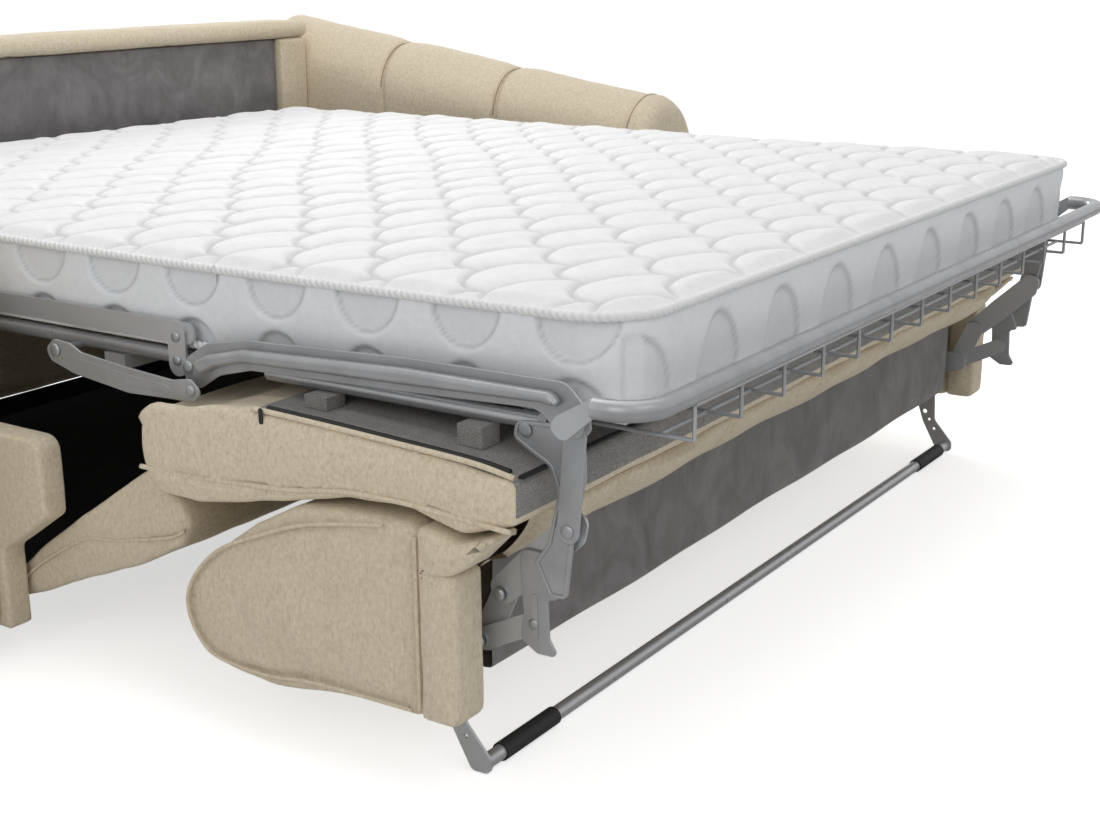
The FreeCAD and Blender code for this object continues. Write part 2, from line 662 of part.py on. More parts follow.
legOutline = [(-32, 178, 10), (-30, 206, 10), (10, 208, 10), (size("backFrontY"), 208, 4),
              (size("backFrontY"), 106, 6), (60, 92, 10), (48, 58, 14), (16, 0.6, 10), (-14, 2, 12),
              (-13, 22, 10), (24, 64, 14), (28, 148, 14), (0, 168, 14)]
legHoles = [(45, 79, 9), (35, 63, 6), (24, 45, 6)]
leverOutline = [(-165, 372, 14), (-140, 378, 14), (-74, 316, 14), (-22, 262, 14), (-44, 236, 16),
                (-104, 288, 16), (-158, 340, 14)]
hookOutline = [(-104, 320, 12), (-72, 320, 12), (-77, 240, 14), (-72, 206, 12), (-96, 192, 6),
               (-126, 193, 6), (-113, 214, 8), (-111, 262, 6), (-126, 266, 5), (-112, 300, 8)]
tiePieces = []
for name, side in SIDES:
    sidePlate(f"leg_plate_{name}", rounded(legOutline), "legLayer", side, holes=legHoles)
    sidePlate(f"short_link_{name}", capsule(shortTop, shortFoot, size("linkWidth")),
              "shortLayer", side)
    sidePlate(f"lever_{name}", rounded(leverOutline), "leverLayer", side)
    tiePieces.append(sidePlate(f"tie_link_{name}", capsule(shortFoot, hookFoot, 28),
                               "leverLayer", side, keepIt=False))
    sidePlate(f"hook_link_{name}", rounded(hookOutline), "hookLayer", side)

group("tie_links", tiePieces)

# Each rivet is a spacer between two plate layers, or a head on the outer plate
leverOuter = f"Sizes.leverLayer + {plate}"
RIVETS = (
    ("short_top", shortTop, f"Sizes.shortLayer + {plate}", "Sizes.leverLayer"),
    ("short_foot", shortFoot, f"Sizes.shortLayer + {plate}", "Sizes.leverLayer"),
    ("short_top_head", shortTop, leverOuter, f"{leverOuter} + Sizes.rivetHead"),
    ("short_foot_head", shortFoot, leverOuter, f"{leverOuter} + Sizes.rivetHead"),
    ("hook_top", hookTop, leverOuter, "Sizes.hookLayer"),
    ("hook_foot", hookFoot, leverOuter, "Sizes.hookLayer"),
)
rivetPieces = []
for name, side in SIDES:
    for spot, pivot, inner, outer in RIVETS:
        left, right = spanX(inner, outer, side)
        rivetPieces.append(crossPin(f"rivet_{spot}_{name}", str(pivot[0]), str(pivot[1]),
                                    left, right, "Sizes.rivetDia"))
group("linkage_rivets", rivetPieces)

# Floor bar with its two clip-on sleeves

barZ = "Sizes.sleeveDia / 2"
keep(crossPin("floor_bar_rod", "0", barZ, "-Sizes.legLayer", "Sizes.legLayer", "Sizes.barDia"),
     "floor_bar")
for name, side in SIDES:
    left, right = spanX("Sizes.legLayer - Sizes.sleeveFromEnd - Sizes.sleeveLength",
                        "Sizes.legLayer - Sizes.sleeveFromEnd", side)
    outer = crossPin(f"bar_sleeve_outer_{name}", "0", barZ, left, right, "Sizes.sleeveDia")
    bore = crossPin(f"bar_sleeve_bore_{name}", "0", barZ, f"({left}) - 1", f"({right}) + 1",
                    "Sizes.barDia")
    cut = doc.addObject("Part::Cut", f"bar_sleeve_{name}_cut")
    cut.Base = outer
    cut.Tool = bore
    keep(cut, f"bar_sleeve_{name}")

# Foot-end rail: a tube bent to a shallow U, with flat tabs back to the foot frame

railHalf = size("footRailHalf") - size("railTubeDia") / 2
bend = size("footRailBend")
railY = size("footRailY")
railZ = size("footRailZ")
tubeEndY = -196
reachIn = railHalf - bend
quarter = bend * (1 - math.sqrt(0.5))
path = Part.Wire([
    Part.LineSegment(V(-railHalf, tubeEndY, railZ), V(-railHalf, railY + bend, railZ)).toShape(),
    Part.Arc(V(-railHalf, railY + bend, railZ), V(-railHalf + quarter, railY + quarter, railZ),
             V(-reachIn, railY, railZ)).toShape(),
    Part.LineSegment(V(-reachIn, railY, railZ), V(reachIn, railY, railZ)).toShape(),
    Part.Arc(V(reachIn, railY, railZ), V(railHalf - quarter, railY + quarter, railZ),
             V(railHalf, railY + bend, railZ)).toShape(),
    Part.LineSegment(V(railHalf, railY + bend, railZ), V(railHalf, tubeEndY, railZ)).toShape(),
])
ring = Part.Circle(V(-railHalf, tubeEndY, railZ), V(0, 1, 0), size("railTubeDia") / 2)
railTube = path.makePipeShell([Part.Wire(ring.toShape())], True, False)
feature("foot_rail", railTube)

tabOutline = [(tubeEndY, railZ - 12, 3), (tubeEndY, railZ + 12, 3), (-150, 500, 10), (-140, 486, 12),
              (-158, 470, 12)]
tabPieces = [sidePlate(f"rail_tab_{name}", rounded(tabOutline), "lowerLayer", side, keepIt=False)
             for name, side in SIDES]
group("rail_tabs", tabPieces)

# Wire basket under the foot-end rail

wireY = "Sizes.footRailY"
topWireZ = "Sizes.footRailZ - Sizes.railTubeDia / 2 - Sizes.wireDia / 2"
lowWireZ = "Sizes.tubeZ - Sizes.tubeDia / 2 - Sizes.wireDia / 2"
wires = [crossPin("basket_top_wire", wireY, topWireZ, "-Sizes.basketHalf", "Sizes.basketHalf",
                  "Sizes.wireDia")]
for index, y in enumerate((f"{wireY} + 45", "-70")):
    wires.append(crossPin(f"basket_low_wire_{index}", y, lowWireZ, "-Sizes.basketHalf",
                          "Sizes.basketHalf", "Sizes.wireDia"))
for index in range(int(size("wireCount"))):
    x = f"-Sizes.basketHalf + {index} * 2 * Sizes.basketHalf / (Sizes.wireCount - 1)"
    wires.append(upTube(f"basket_drop_{index}", x, wireY, lowWireZ, topWireZ, "Sizes.wireDia"))
    wires.append(longTube(f"basket_back_{index}", x, lowWireZ, wireY, "-62", "Sizes.wireDia"))
join("wire_basket", wires)

# Seat cushion, back cushion and apron, upside down under the open bed

seatOutline = [(-112, 372, 10), (-112, 424, 14), (-40, 435, 60), (150, 444, 120), (275, 447, 80),
               (345, 440, 60), (392, 424, 40), (456, 422, 26), (482, 404, 24), (484, 370, 30),
               (479, 330, 26), (450, 309, 30), (388, 308, 60), (317, 318, 60), (198, 345, 80),
               (133, 360, 60), (42, 366, 60), (-38, 346, 30)]
draw = size("endDraw") / 2
half = size("cushionHalf")
feature("seat_cushion", cushionShape(seatOutline, half, draw, 0))

strapHalf = 18
tubeBottom = tubeZ - size("tubeDia") / 2


def seatTop(y):
    """Height of the seat's frame side, along the straight runs of its outline."""
    for first, second in zip(seatOutline[1:], seatOutline[2:]):
        if first[0] <= y <= second[0]:
            return first[1] + (second[1] - first[1]) * (y - first[0]) / (second[0] - first[0])


seatStraps = []
for name, side in SIDES:
    for spot, y in (("front", -15), ("rear", 220)):
        strapOutline = [(y + end * strapHalf, seatTop(y + end * strapHalf) + size("softGap"))
                        for end in (-1, 1)]
        strapOutline += [(y + strapHalf, tubeBottom), (y - strapHalf, tubeBottom)]
        seatStraps.append(sidePlate(f"seat_strap_{name}_{spot}", rounded(strapOutline),
                                    "legLayer", side, thick="linkWidth", keepIt=False))
group("seat_straps", seatStraps)

backY = size("backFrontY")
backOutline = [(backY, 106, 6), (backY, 350, 10), (149, 343, 60), (213, 334, 60), (283, 300, 60),
               (330, 268, 60), (376, 232, 50), (408, 200, 40), (415, 165, 40), (396, 122, 40),
               (354, 92, 50), (266, 86, 60), (180, 98, 60)]
feature("back_cushion", cushionShape(backOutline, half, draw, 0, (backY, 200)))
cornerPieces = []
for name, side in SIDES:
    left, right = spanX("Sizes.cornerPadX", "Sizes.cushionHalf - Sizes.endDraw / 2", side)
    cornerPieces.append(box(f"back_corner_{name}", left, right, "Sizes.cornerPadY",
                            "Sizes.backFrontY - Sizes.softGap", "112", "330", keepIt=False))
group("back_corner_pads", cornerPieces)
box("back_frame", "-Sizes.backPanelHalf", "Sizes.backPanelHalf", "0", "Sizes.backFrontY", "130", "338")

apronHinge = (487, 345)
apronOutline = [(480.8, 342, 2), (474, 300, 10), (446, 292, 12), (430, 268, 16), (452, 238, 20),
                (530, 202, 60), (657, 150, 80), (755, 98, 40), (792, 80, 16), (802, 96, 10),
                (792, 122, 20), (741, 160, 60), (647, 225, 80), (560, 284, 60), (512, 318, 20)]
feature("apron_pad", cushionShape(apronOutline, size("apronHalf"), draw, size("crown"),
                                  apronHinge))

# Every object is sound before anything is written

doc.recompute()
for piece in doc.Objects:
    if "Invalid" in piece.State or "Error" in piece.State:
        raise RuntimeError(f"{piece.Label} failed: {piece.State}")
for piece in nodes:
    if piece.Shape.isNull() or not piece.Shape.isValid():
        raise RuntimeError(f"{piece.Label} has no valid shape")
for piece in nodes:
    piece.Shape.exportStep(f"parts/{piece.Label}.step")
total = Part.makeCompound([piece.Shape for piece in nodes]).BoundBox
print(len(nodes), "pieces;", round(total.XLength), round(total.YLength), round(total.ZLength))
print("fold link rear pivot", [round(value, 2) for value in foldRear])
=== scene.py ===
import math
import bpy
import bmesh
import numpy as np
from mathutils import Matrix, Vector, geometry, noise


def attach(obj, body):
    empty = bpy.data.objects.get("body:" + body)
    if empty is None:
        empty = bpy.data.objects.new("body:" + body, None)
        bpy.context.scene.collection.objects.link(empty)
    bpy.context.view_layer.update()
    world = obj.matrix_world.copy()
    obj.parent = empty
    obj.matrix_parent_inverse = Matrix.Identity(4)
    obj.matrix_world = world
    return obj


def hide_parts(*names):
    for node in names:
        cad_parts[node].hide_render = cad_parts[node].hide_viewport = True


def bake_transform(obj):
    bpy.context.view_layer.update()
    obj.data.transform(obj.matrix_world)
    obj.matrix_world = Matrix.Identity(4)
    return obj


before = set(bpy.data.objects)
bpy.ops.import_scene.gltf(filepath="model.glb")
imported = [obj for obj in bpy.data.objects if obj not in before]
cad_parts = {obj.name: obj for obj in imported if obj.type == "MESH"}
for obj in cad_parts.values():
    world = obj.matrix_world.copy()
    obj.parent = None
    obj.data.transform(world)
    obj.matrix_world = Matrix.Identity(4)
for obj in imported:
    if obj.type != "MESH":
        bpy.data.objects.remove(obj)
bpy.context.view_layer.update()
print("packed sofa loaded,", len(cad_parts), "nodes")

# Drawn in the workshop's layout: y is 0 at the floor bar and 1.9 at the sofa's back, all in metres
layoutShift = -0.81525
sides = (("left", -1), ("right", 1))


# Finishes

class Recipe:
    # a material whose nodes are added one after another
    def __init__(self, name):
        self.material = bpy.data.materials.new(name)
        self.material.use_nodes = True
        self.tree = self.material.node_tree
        self.shader = self.tree.nodes["Principled BSDF"]
        self.place = self.node("ShaderNodeTexCoord").outputs["Object"]

    def node(self, kind, **settings):
        made = self.tree.nodes.new(kind)
        for key, value in settings.items():
            setattr(made, key, value)
        return made

    def link(self, source, target):
        self.tree.links.new(source, target)

    def stretched(self, scale):
        mapping = self.node("ShaderNodeMapping")
        mapping.inputs["Scale"].default_value = scale
        self.link(self.place, mapping.inputs["Vector"])
        return mapping.outputs["Vector"]

    def grain(self, scale, detail=4.0, rough=0.6, stretch=(1, 1, 1), distort=0.0):
        texture = self.node("ShaderNodeTexNoise")
        texture.inputs["Scale"].default_value = scale
        texture.inputs["Detail"].default_value = detail
        texture.inputs["Roughness"].default_value = rough
        texture.inputs["Distortion"].default_value = distort
        self.link(self.stretched(stretch), texture.inputs["Vector"])
        return texture.outputs["Fac"]

    def threads(self, direction, period, distort=0.6):
        wave = self.node("ShaderNodeTexWave", bands_direction=direction)
        wave.inputs["Scale"].default_value = 0.314 / period
        wave.inputs["Distortion"].default_value = distort
        wave.inputs["Detail"].default_value = 1.0
        wave.inputs["Detail Scale"].default_value = 2.0
        self.link(self.place, wave.inputs["Vector"])
        return wave.outputs["Fac"]

    def maths(self, kind, first, second):
        made = self.node("ShaderNodeMath", operation=kind)
        for socket, value in zip(made.inputs, (first, second)):
            if isinstance(value, (int, float)):
                socket.default_value = value
            else:
                self.link(value, socket)
        return made.outputs[0]

    def spread(self, value, low, high, fromLow=0.3, fromHigh=0.7):
        made = self.node("ShaderNodeMapRange")
        self.link(value, made.inputs["Value"])
        made.inputs["From Min"].default_value = fromLow
        made.inputs["From Max"].default_value = fromHigh
        made.inputs["To Min"].default_value = low
        made.inputs["To Max"].default_value = high
        return made.outputs["Result"]

    def blendColours(self, share, first, second):
        made = self.node("ShaderNodeMix", data_type="RGBA")
        for socket, value in ((made.inputs[0], share), (made.inputs[6], first), (made.inputs[7], second)):
            if isinstance(value, (tuple, list)):
                socket.default_value = (*value, 1)
            elif isinstance(value, (int, float)):
                socket.default_value = value
            else:
                self.link(value, socket)
        return made.outputs[2]

    def relief(self, height, depth, strength=1.0):
        bump = self.node("ShaderNodeBump")
        bump.inputs["Distance"].default_value = depth
        bump.inputs["Strength"].default_value = strength
        self.link(height, bump.inputs["Height"])
        self.link(bump.outputs["Normal"], self.shader.inputs["Normal"])

    def finish(self, colour, roughness, **settings):
        for socket, value in (("Base Color", colour), ("Roughness", roughness)):
            if isinstance(value, (tuple, list)):
                self.shader.inputs[socket].default_value = (*value, 1)
            elif isinstance(value, (int, float)):
                self.shader.inputs[socket].default_value = value
            else:
                self.link(value, self.shader.inputs[socket])
        names = {"metal": "Metallic", "sheen": "Sheen Weight", "sheenRoughness": "Sheen Roughness",
                 "gloss": "Specular IOR Level"}
        for key, value in settings.items():
            self.shader.inputs[names[key]].default_value = value
        return self.material


def linear(red, green, blue):
    # a colour as it is seen on screen, from 0 to 255, as the shader wants it
    return tuple(((c / 255 + 0.055) / 1.055) ** 2.4 if c > 10 else c / 3295 for c in (red, green, blue))


def shaded(tone, share):
    # the same colour made darker or lighter
    return linear(*[min(255, c * share) for c in tone])


def heatheredWeave(name, light, dark, slub, streak=(1, 1, 0.16), period=0.0017):
    cloth = Recipe(name)
    patches = cloth.grain(150, 5, 0.62)
    slubs = cloth.grain(460, 3, 0.65, stretch=streak)
    yarn = cloth.grain(900, 2, 0.7)
    tone = cloth.blendColours(cloth.spread(patches, 0, 1, 0.36, 0.66), linear(*light), linear(*dark))
    tone = cloth.blendColours(cloth.spread(slubs, 0, 0.46, 0.5, 0.72), tone, linear(*slub))
    tone = cloth.blendColours(cloth.spread(yarn, 0, 0.35, 0.45, 0.75), tone, linear(*dark))
    across = cloth.maths("ADD", cloth.threads("X", period), cloth.threads("Y", period))
    weave = cloth.maths("ADD", across, cloth.threads("Z", period))
    height = cloth.maths("ADD", cloth.maths("MULTIPLY", weave, 0.22), cloth.maths("MULTIPLY", yarn, 0.7))
    height = cloth.maths("ADD", height, cloth.maths("MULTIPLY", slubs, 0.9))
    cloth.relief(height, 0.0011, 0.75)
    return cloth.finish(tone, 0.93, sheen=0.18, sheenRoughness=0.5, gloss=0.2)


def brushedSuede(name, light, dark):
    cloth = Recipe(name)
    nap = cloth.grain(9, 6, 0.62, distort=1.4)
    marks = cloth.grain(26, 5, 0.7, stretch=(1, 1, 0.35), distort=0.6)
    fuzz = cloth.grain(1300, 2, 0.7)
    tone = cloth.blendColours(cloth.spread(nap, 0, 1, 0.35, 0.68), linear(*light), linear(*dark))
    tone = cloth.blendColours(cloth.spread(marks, 0, 0.5, 0.45, 0.75), tone, shaded(dark, 0.82))
    tone = cloth.blendColours(cloth.spread(fuzz, 0, 0.35, 0.5, 0.8), tone, shaded(light, 1.25))
    height = cloth.maths("ADD", cloth.maths("MULTIPLY", fuzz, 0.6), cloth.maths("MULTIPLY", marks, 0.8))
    cloth.relief(height, 0.0009, 0.6)
    return cloth.finish(tone, 0.95, sheen=0.35, sheenRoughness=0.45, gloss=0.15)


def greyMelange(name):
    cloth = Recipe(name)
    speckle = cloth.grain(620, 3, 0.75)
    cloud = cloth.grain(60, 4, 0.6)
    tone = cloth.blendColours(cloth.spread(speckle, 0, 1, 0.38, 0.64), linear(178, 174, 170),
                              linear(112, 110, 108))
    tone = cloth.blendColours(cloth.spread(cloud, 0, 0.4, 0.4, 0.7), tone, linear(124, 121, 118))
    height = cloth.maths("ADD", speckle, cloth.threads("X", 0.0016))
    cloth.relief(height, 0.0006, 0.6)
    return cloth.finish(tone, 0.94, sheen=0.2, gloss=0.15)


def quiltedCover(name, tint, period, satin):
    cloth = Recipe(name)
    knit = cloth.maths("MULTIPLY", cloth.threads("X", period, 0.3), cloth.threads("Y", period, 0.3))
    puckers = cloth.grain(95, 3, 0.6)
    fibres = cloth.grain(700, 2, 0.6)
    shade = cloth.blendColours(cloth.spread(puckers, 0, 0.5, 0.35, 0.7), linear(*tint), shaded(tint, 0.955))
    # painted shade: the stitchShade attribute darkens the cover towards 62% of its tint along the stitched
    # grooves and inside the drawn-in half rounds
    stitchShade = cloth.node("ShaderNodeAttribute", attribute_name="stitchShade").outputs["Fac"]
    shade = cloth.blendColours(stitchShade, shade, shaded(tint, 0.62))
    height = cloth.maths("ADD", cloth.maths("MULTIPLY", knit, 0.25), cloth.maths("MULTIPLY", puckers, 1.1))
    height = cloth.maths("ADD", height, cloth.maths("MULTIPLY", fibres, 0.25))
    cloth.relief(height, 0.0007 if satin else 0.0016, 0.6)
    return cloth.finish(shade, 0.5 if satin else 0.72, sheen=0.12, gloss=0.32 if satin else 0.22)


def paintedSteel(name, tone, rough=0.36, metal=0.45):
    steel = Recipe(name)
    cloud = steel.grain(22, 4, 0.6)
    peel = steel.grain(520, 2, 0.5)
    edge = steel.node("ShaderNodeNewGeometry").outputs["Pointiness"]
    worn = steel.spread(edge, 0, 0.55, 0.53, 0.6)
    base = steel.blendColours(steel.spread(cloud, 0, 1, 0.3, 0.7), linear(*tone), shaded(tone, 0.93))
    base = steel.blendColours(worn, base, shaded(tone, 1.22))
    steel.relief(peel, 0.00018, 0.5)
    return steel.finish(base, steel.spread(cloud, rough - 0.05, rough + 0.08), metal=metal, gloss=0.5)


def blackRubber(name, tone=(38, 38, 39), rough=0.62):
    rubber = Recipe(name)
    dust = rubber.grain(180, 4, 0.7)
    tint = rubber.blendColours(rubber.spread(dust, 0, 0.5, 0.4, 0.8), linear(*tone), shaded(tone, 1.5))
    rubber.relief(rubber.grain(900, 2, 0.6), 0.0003, 0.5)
    return rubber.finish(tint, rough, gloss=0.35)


def liningCloth(name):
    cloth = Recipe(name)
    nap = cloth.grain(24, 5, 0.65, distort=0.8)
    fuzz = cloth.grain(1100, 2, 0.7)
    tone = cloth.blendColours(cloth.spread(nap, 0, 1, 0.35, 0.65), linear(38, 39, 52), linear(22, 22, 31))
    cloth.relief(cloth.maths("ADD", nap, cloth.maths("MULTIPLY", fuzz, 0.5)), 0.0008, 0.5)
    return cloth.finish(tone, 0.92, sheen=0.15, gloss=0.15)


def wovenNet(name):
    net = Recipe(name)
    strands = net.maths("MAXIMUM", net.threads("X", 0.010, 0.1), net.threads("Y", 0.010, 0.1))
    tone = net.blendColours(net.spread(strands, 0, 1, 0.55, 0.8), linear(92, 93, 95), linear(196, 197, 198))
    net.relief(strands, 0.0015, 0.8)
    return net.finish(tone, 0.7, gloss=0.3)


finishes = {
    "beige": heatheredWeave("heathered_beige", (233, 220, 196), (215, 201, 175), (176, 159, 130)),
    "beigeSeat": heatheredWeave("heathered_beige_seat", (238, 225, 201), (221, 207, 180), (180, 163, 134),
                                streak=(1, 0.5, 0.22)),
    "suede": brushedSuede("grey_suede", (138, 136, 136), (110, 108, 108)),
    "melange": greyMelange("grey_melange"),
    "quilt": quiltedCover("quilted_knit", (246, 246, 247), 0.0022, False),
    "satin": quiltedCover("satin_border", (238, 240, 243), 0.0013, True),
    "thread": heatheredWeave("beige_seam_thread", (176, 161, 134), (156, 141, 114), (136, 121, 96)),
    "rope": quiltedCover("edge_rope", (240, 241, 240), 0.0009, True),
    "steel": paintedSteel("silver_grey_paint", (166, 167, 169)),
    "steelDark": paintedSteel("silver_grey_tube", (162, 163, 165), rough=0.3),
    "rivet": paintedSteel("rivet_heads", (158, 161, 163), rough=0.3, metal=0.6),
    "rubber": blackRubber("black_sleeve"),
    "zip": blackRubber("black_zip", (26, 26, 28), 0.5),
    "plastic": blackRubber("black_foot", (30, 30, 31), 0.45),
    "lining": liningCloth("navy_lining"),
    "net": wovenNet("woven_net"),
}
print("finishes mixed")


# Making pieces

def addPiece(name, points, faces, finish, flatAngle=None):
    mesh = bpy.data.meshes.new(name)
    shifted = np.array(points, float).reshape(-1, 3)
    shifted[:, 1] += layoutShift
    mesh.from_pydata(shifted.tolist(), [], [list(face) for face in faces])
    return showMesh(name, mesh, finish, flatAngle)


def showMesh(name, mesh, finish, flatAngle=None):
    mesh.materials.append(finishes[finish])
    mesh.polygons.foreach_set("use_smooth", [True] * len(mesh.polygons))
    if flatAngle:
        mesh.set_sharp_from_angle(angle=math.radians(flatAngle))
    piece = bpy.data.objects.new(name, mesh)
    bpy.context.scene.collection.objects.link(piece)
    return piece


def settle(piece, body, slot, *nodes):
    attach(piece, body)
    if nodes:
        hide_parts(*nodes)
    return piece


def roundedOutline(points):
    # corners (y, z, radius) in millimetres to a smooth closed line in metres, as the plates are cut
    count = len(points)
    line = []
    for index, point in enumerate(points):
        here = Vector(point[:2])
        radius = point[2] if len(point) > 2 else 0
        before = Vector(points[index - 1][:2]) - here
        after = Vector(points[(index + 1) % count][:2]) - here
        if radius <= 0:
            line.append(here)
            continue
        angle = before.angle(after)
        reach = min(radius / math.tan(angle / 2), 0.49 * before.length, 0.49 * after.length)
        radius = reach * math.tan(angle / 2)
        start = here + before.normalized() * reach
        end = here + after.normalized() * reach
        inwards = (before.normalized() + after.normalized()).normalized()
        centre = here + inwards * (radius / math.sin(angle / 2))
        arc = (start - centre).angle_signed(end - centre)
        pieces = max(3, int(abs(math.degrees(arc)) / 9))
        for part in range(pieces + 1):
            spoke = (start - centre).copy()
            spoke.rotate(Matrix.Rotation(-arc * part / pieces, 2))
            line.append(centre + spoke)
    return [(point.x / 1000, point.y / 1000) for point in line]


def capsuleOutline(start, end, width):
    first, second = Vector(start), Vector(end)
    along = (second - first).normalized()
    side = Vector((-along.y, along.x)) * width / 2
    line = []
    for centre, sign in ((second, 1), (first, -1)):
        for part in range(13):
            angle = math.radians(-90 + 15 * part)
            line.append(centre + sign * (along * math.cos(angle) * width / 2 + side * math.sin(angle)))
    return [(point.x / 1000, point.y / 1000) for point in line]


def circleOutline(centre, radius, count=24):
    return [((centre[0] + radius * math.cos(2 * math.pi * part / count)) / 1000,
             (centre[1] + radius * math.sin(2 * math.pi * part / count)) / 1000) for part in range(count)]


def inset(line, distance):
    # a closed line moved inwards by that distance, in metres
    points = np.array(line)
    forward = np.roll(points, -1, 0) - points
    backward = points - np.roll(points, 1, 0)
    forward /= np.linalg.norm(forward, axis=1)[:, None] + 1e-12
    backward /= np.linalg.norm(backward, axis=1)[:, None] + 1e-12
    tangent = forward + backward
    tangent /= np.linalg.norm(tangent, axis=1)[:, None] + 1e-12
    area = 0.5 * np.sum(points[:, 0] * np.roll(points[:, 1], -1) - np.roll(points[:, 0], -1) * points[:, 1])
    normal = np.stack([-tangent[:, 1], tangent[:, 0]], 1) * (1 if area > 0 else -1)
    return (points + normal * distance).tolist()


def cutPlate(outline, inner, outer, side, holes=(), edge=0.0009, edgeSteps=2):
    # a plate between two distances from the sofa's middle, with eased edges, as a mesh
    curve = bpy.data.curves.new("plate", "CURVE")
    curve.dimensions = "2D"
    curve.fill_mode = "BOTH"
    thick = outer - inner
    edge = min(edge, thick * 0.49)
    curve.extrude = thick / 2 - edge
    curve.bevel_depth = edge
    curve.bevel_resolution = edgeSteps
    curve.offset = -edge
    for line in (outline, *holes):
        spline = curve.splines.new("POLY")
        spline.points.add(len(line) - 1)
        for point, (y, z) in zip(spline.points, line):
            point.co = (y, z, 0, 1)
        spline.use_cyclic_u = True
    blank = bpy.data.objects.new("plate", curve)
    mesh = bpy.data.meshes.new_from_object(blank)
    bpy.data.objects.remove(blank)
    bpy.data.curves.remove(curve)
    middle = side * (inner + outer) / 2
    mesh.transform(Matrix(((0, 0, 1, middle), (1, 0, 0, layoutShift), (0, 1, 0, 0), (0, 0, 0, 1))))
    return mesh


def turned(profile, centre, x, side, count=28):
    # a turned part such as a rivet: (radius, distance outwards) about an axis across the sofa
    points, faces = [], []
    for radius, out in profile:
        for part in range(count):
            angle = 2 * math.pi * part / count
            points.append((side * (x + out), centre[0] / 1000 + radius * math.cos(angle) + layoutShift,
                           centre[1] / 1000 + radius * math.sin(angle)))
    for row in range(len(profile) - 1):
        for part in range(count):
            following = (part + 1) % count
            face = (row * count + part, row * count + following,
                    (row + 1) * count + following, (row + 1) * count + part)
            faces.append(face if side > 0 else face[::-1])
    last = (len(profile) - 1) * count
    cap = tuple(range(last, last + count))
    faces.append(cap if side > 0 else cap[::-1])
    mesh = bpy.data.meshes.new("turned")
    mesh.from_pydata(points, [], faces)
    return mesh


def gather(name, meshes, finish, flatAngle=35):
    # several meshes as one piece
    body = bmesh.new()
    for mesh in meshes:
        body.from_mesh(mesh)
        bpy.data.meshes.remove(mesh)
    bmesh.ops.recalc_face_normals(body, faces=body.faces)
    joined = bpy.data.meshes.new(name)
    body.to_mesh(joined)
    body.free()
    joined.materials.clear()
    return showMesh(name, joined, finish, flatAngle)


def unit(vectors):
    return vectors / np.linalg.norm(vectors, axis=1)[:, None]


def sweep(path, section, closed=False, spin=None):
    # points and faces of a section drawn along a path; spin turns it on the way
    path = np.array(path, float)
    section = np.array(section, float)
    ahead = np.roll(path, -1, 0) - path
    behind = path - np.roll(path, 1, 0)
    if not closed:
        ahead[-1], behind[0] = behind[-1], ahead[0]
    tangent = unit(unit(ahead) + unit(behind))
    up = np.array([0.0, 0.0, 1.0])
    if np.abs(tangent[:, 2]).max() > 0.9:
        up = np.array([1.0, 0.0, 0.0])
    side = unit(np.cross(up, tangent))
    rise = np.cross(tangent, side)
    angle = np.zeros(len(path)) if spin is None else np.array(spin)
    points = []
    for index in range(len(path)):
        c, s = math.cos(angle[index]), math.sin(angle[index])
        across = section[:, 0] * c - section[:, 1] * s
        lift = section[:, 0] * s + section[:, 1] * c
        points.append(path[index] + across[:, None] * side[index] + lift[:, None] * rise[index])
    points = np.concatenate(points)
    count, around = len(path), len(section)
    faces = []
    for index in range(count if closed else count - 1):
        following = (index + 1) % count
        for part in range(around):
            nextPart = (part + 1) % around
            faces.append((index * around + part, index * around + nextPart,
                          following * around + nextPart, following * around + part))
    if not closed:
        faces.append(tuple(range(around))[::-1])
        faces.append(tuple(range((count - 1) * around, count * around)))
    return points, faces


def evenly(path, step, closed=False):
    # the same path in steps of equal length
    path = np.array(path, float)
    if closed:
        path = np.vstack([path, path[:1]])
    lengths = np.r_[0, np.cumsum(np.linalg.norm(np.diff(path, axis=0), axis=1))]
    count = max(2, int(round(lengths[-1] / step)) + 1)
    spots = np.linspace(0, lengths[-1], count)
    even = np.stack([np.interp(spots, lengths, path[:, axis]) for axis in range(3)], 1)
    return even[:-1] if closed else even


def smoothPath(points, step=0.01, closed=False):
    # a curve through the points
    points = np.array(points, float)
    count = len(points)
    line = []
    for index in range(count if closed else count - 1):
        near = [index + offset for offset in (-1, 0, 1, 2)]
        a, b, c, d = [points[spot % count if closed else min(max(spot, 0), count - 1)] for spot in near]
        for t in np.linspace(0, 1, 12, endpoint=False):
            line.append(0.5 * (2 * b + (c - a) * t + (2 * a - 5 * b + 4 * c - d) * t * t
                               + (3 * b - a - 3 * c + d) * t ** 3))
    if not closed:
        line.append(points[-1])
    return evenly(line, step, closed)


def twisted(radius, strands, count, depth):
    # the section of a twisted rope
    section = []
    for part in range(count):
        turn = math.pi * part / count
        reach = radius * (1 - depth + depth * abs(math.cos(strands * turn)))
        section.append((reach * math.cos(2 * turn), reach * math.sin(2 * turn)))
    return section


def spread(low, high, value):
    share = np.clip((value - low) / (high - low), 0, 1)
    return share * share * (3 - 2 * share)


# Mattress: a quilted top and bottom, satin borders and a rope along each edge

mattress = {
    "half": 0.800, "foot": -0.215, "head": 1.735, "corner": 0.085,
    "low": 0.487, "high": 0.607, "split": 0.405, "hinge": 1.390, "bend": 0.137,
    "rope": 0.0062, "scaleHalf": 0.085, "scaleRise": 0.066, "scalePitch": 0.072,
    "pillow": 0.0115, "wide": 1.60, "long": 1.95,
}

# Half rounds stitched into the border: they stand on its lower edge, and on the sides others hang above them
borders = {
    "side": {"start": 0.007, "pitch": 0.147, "half": 0.036, "tall": 0.041},
    "foot": {"start": 0.071, "pitch": 0.167, "half": 0.052, "tall": 0.089},
    "hang": {"from": 0.112, "half": 0.048, "tall": 0.052},
}


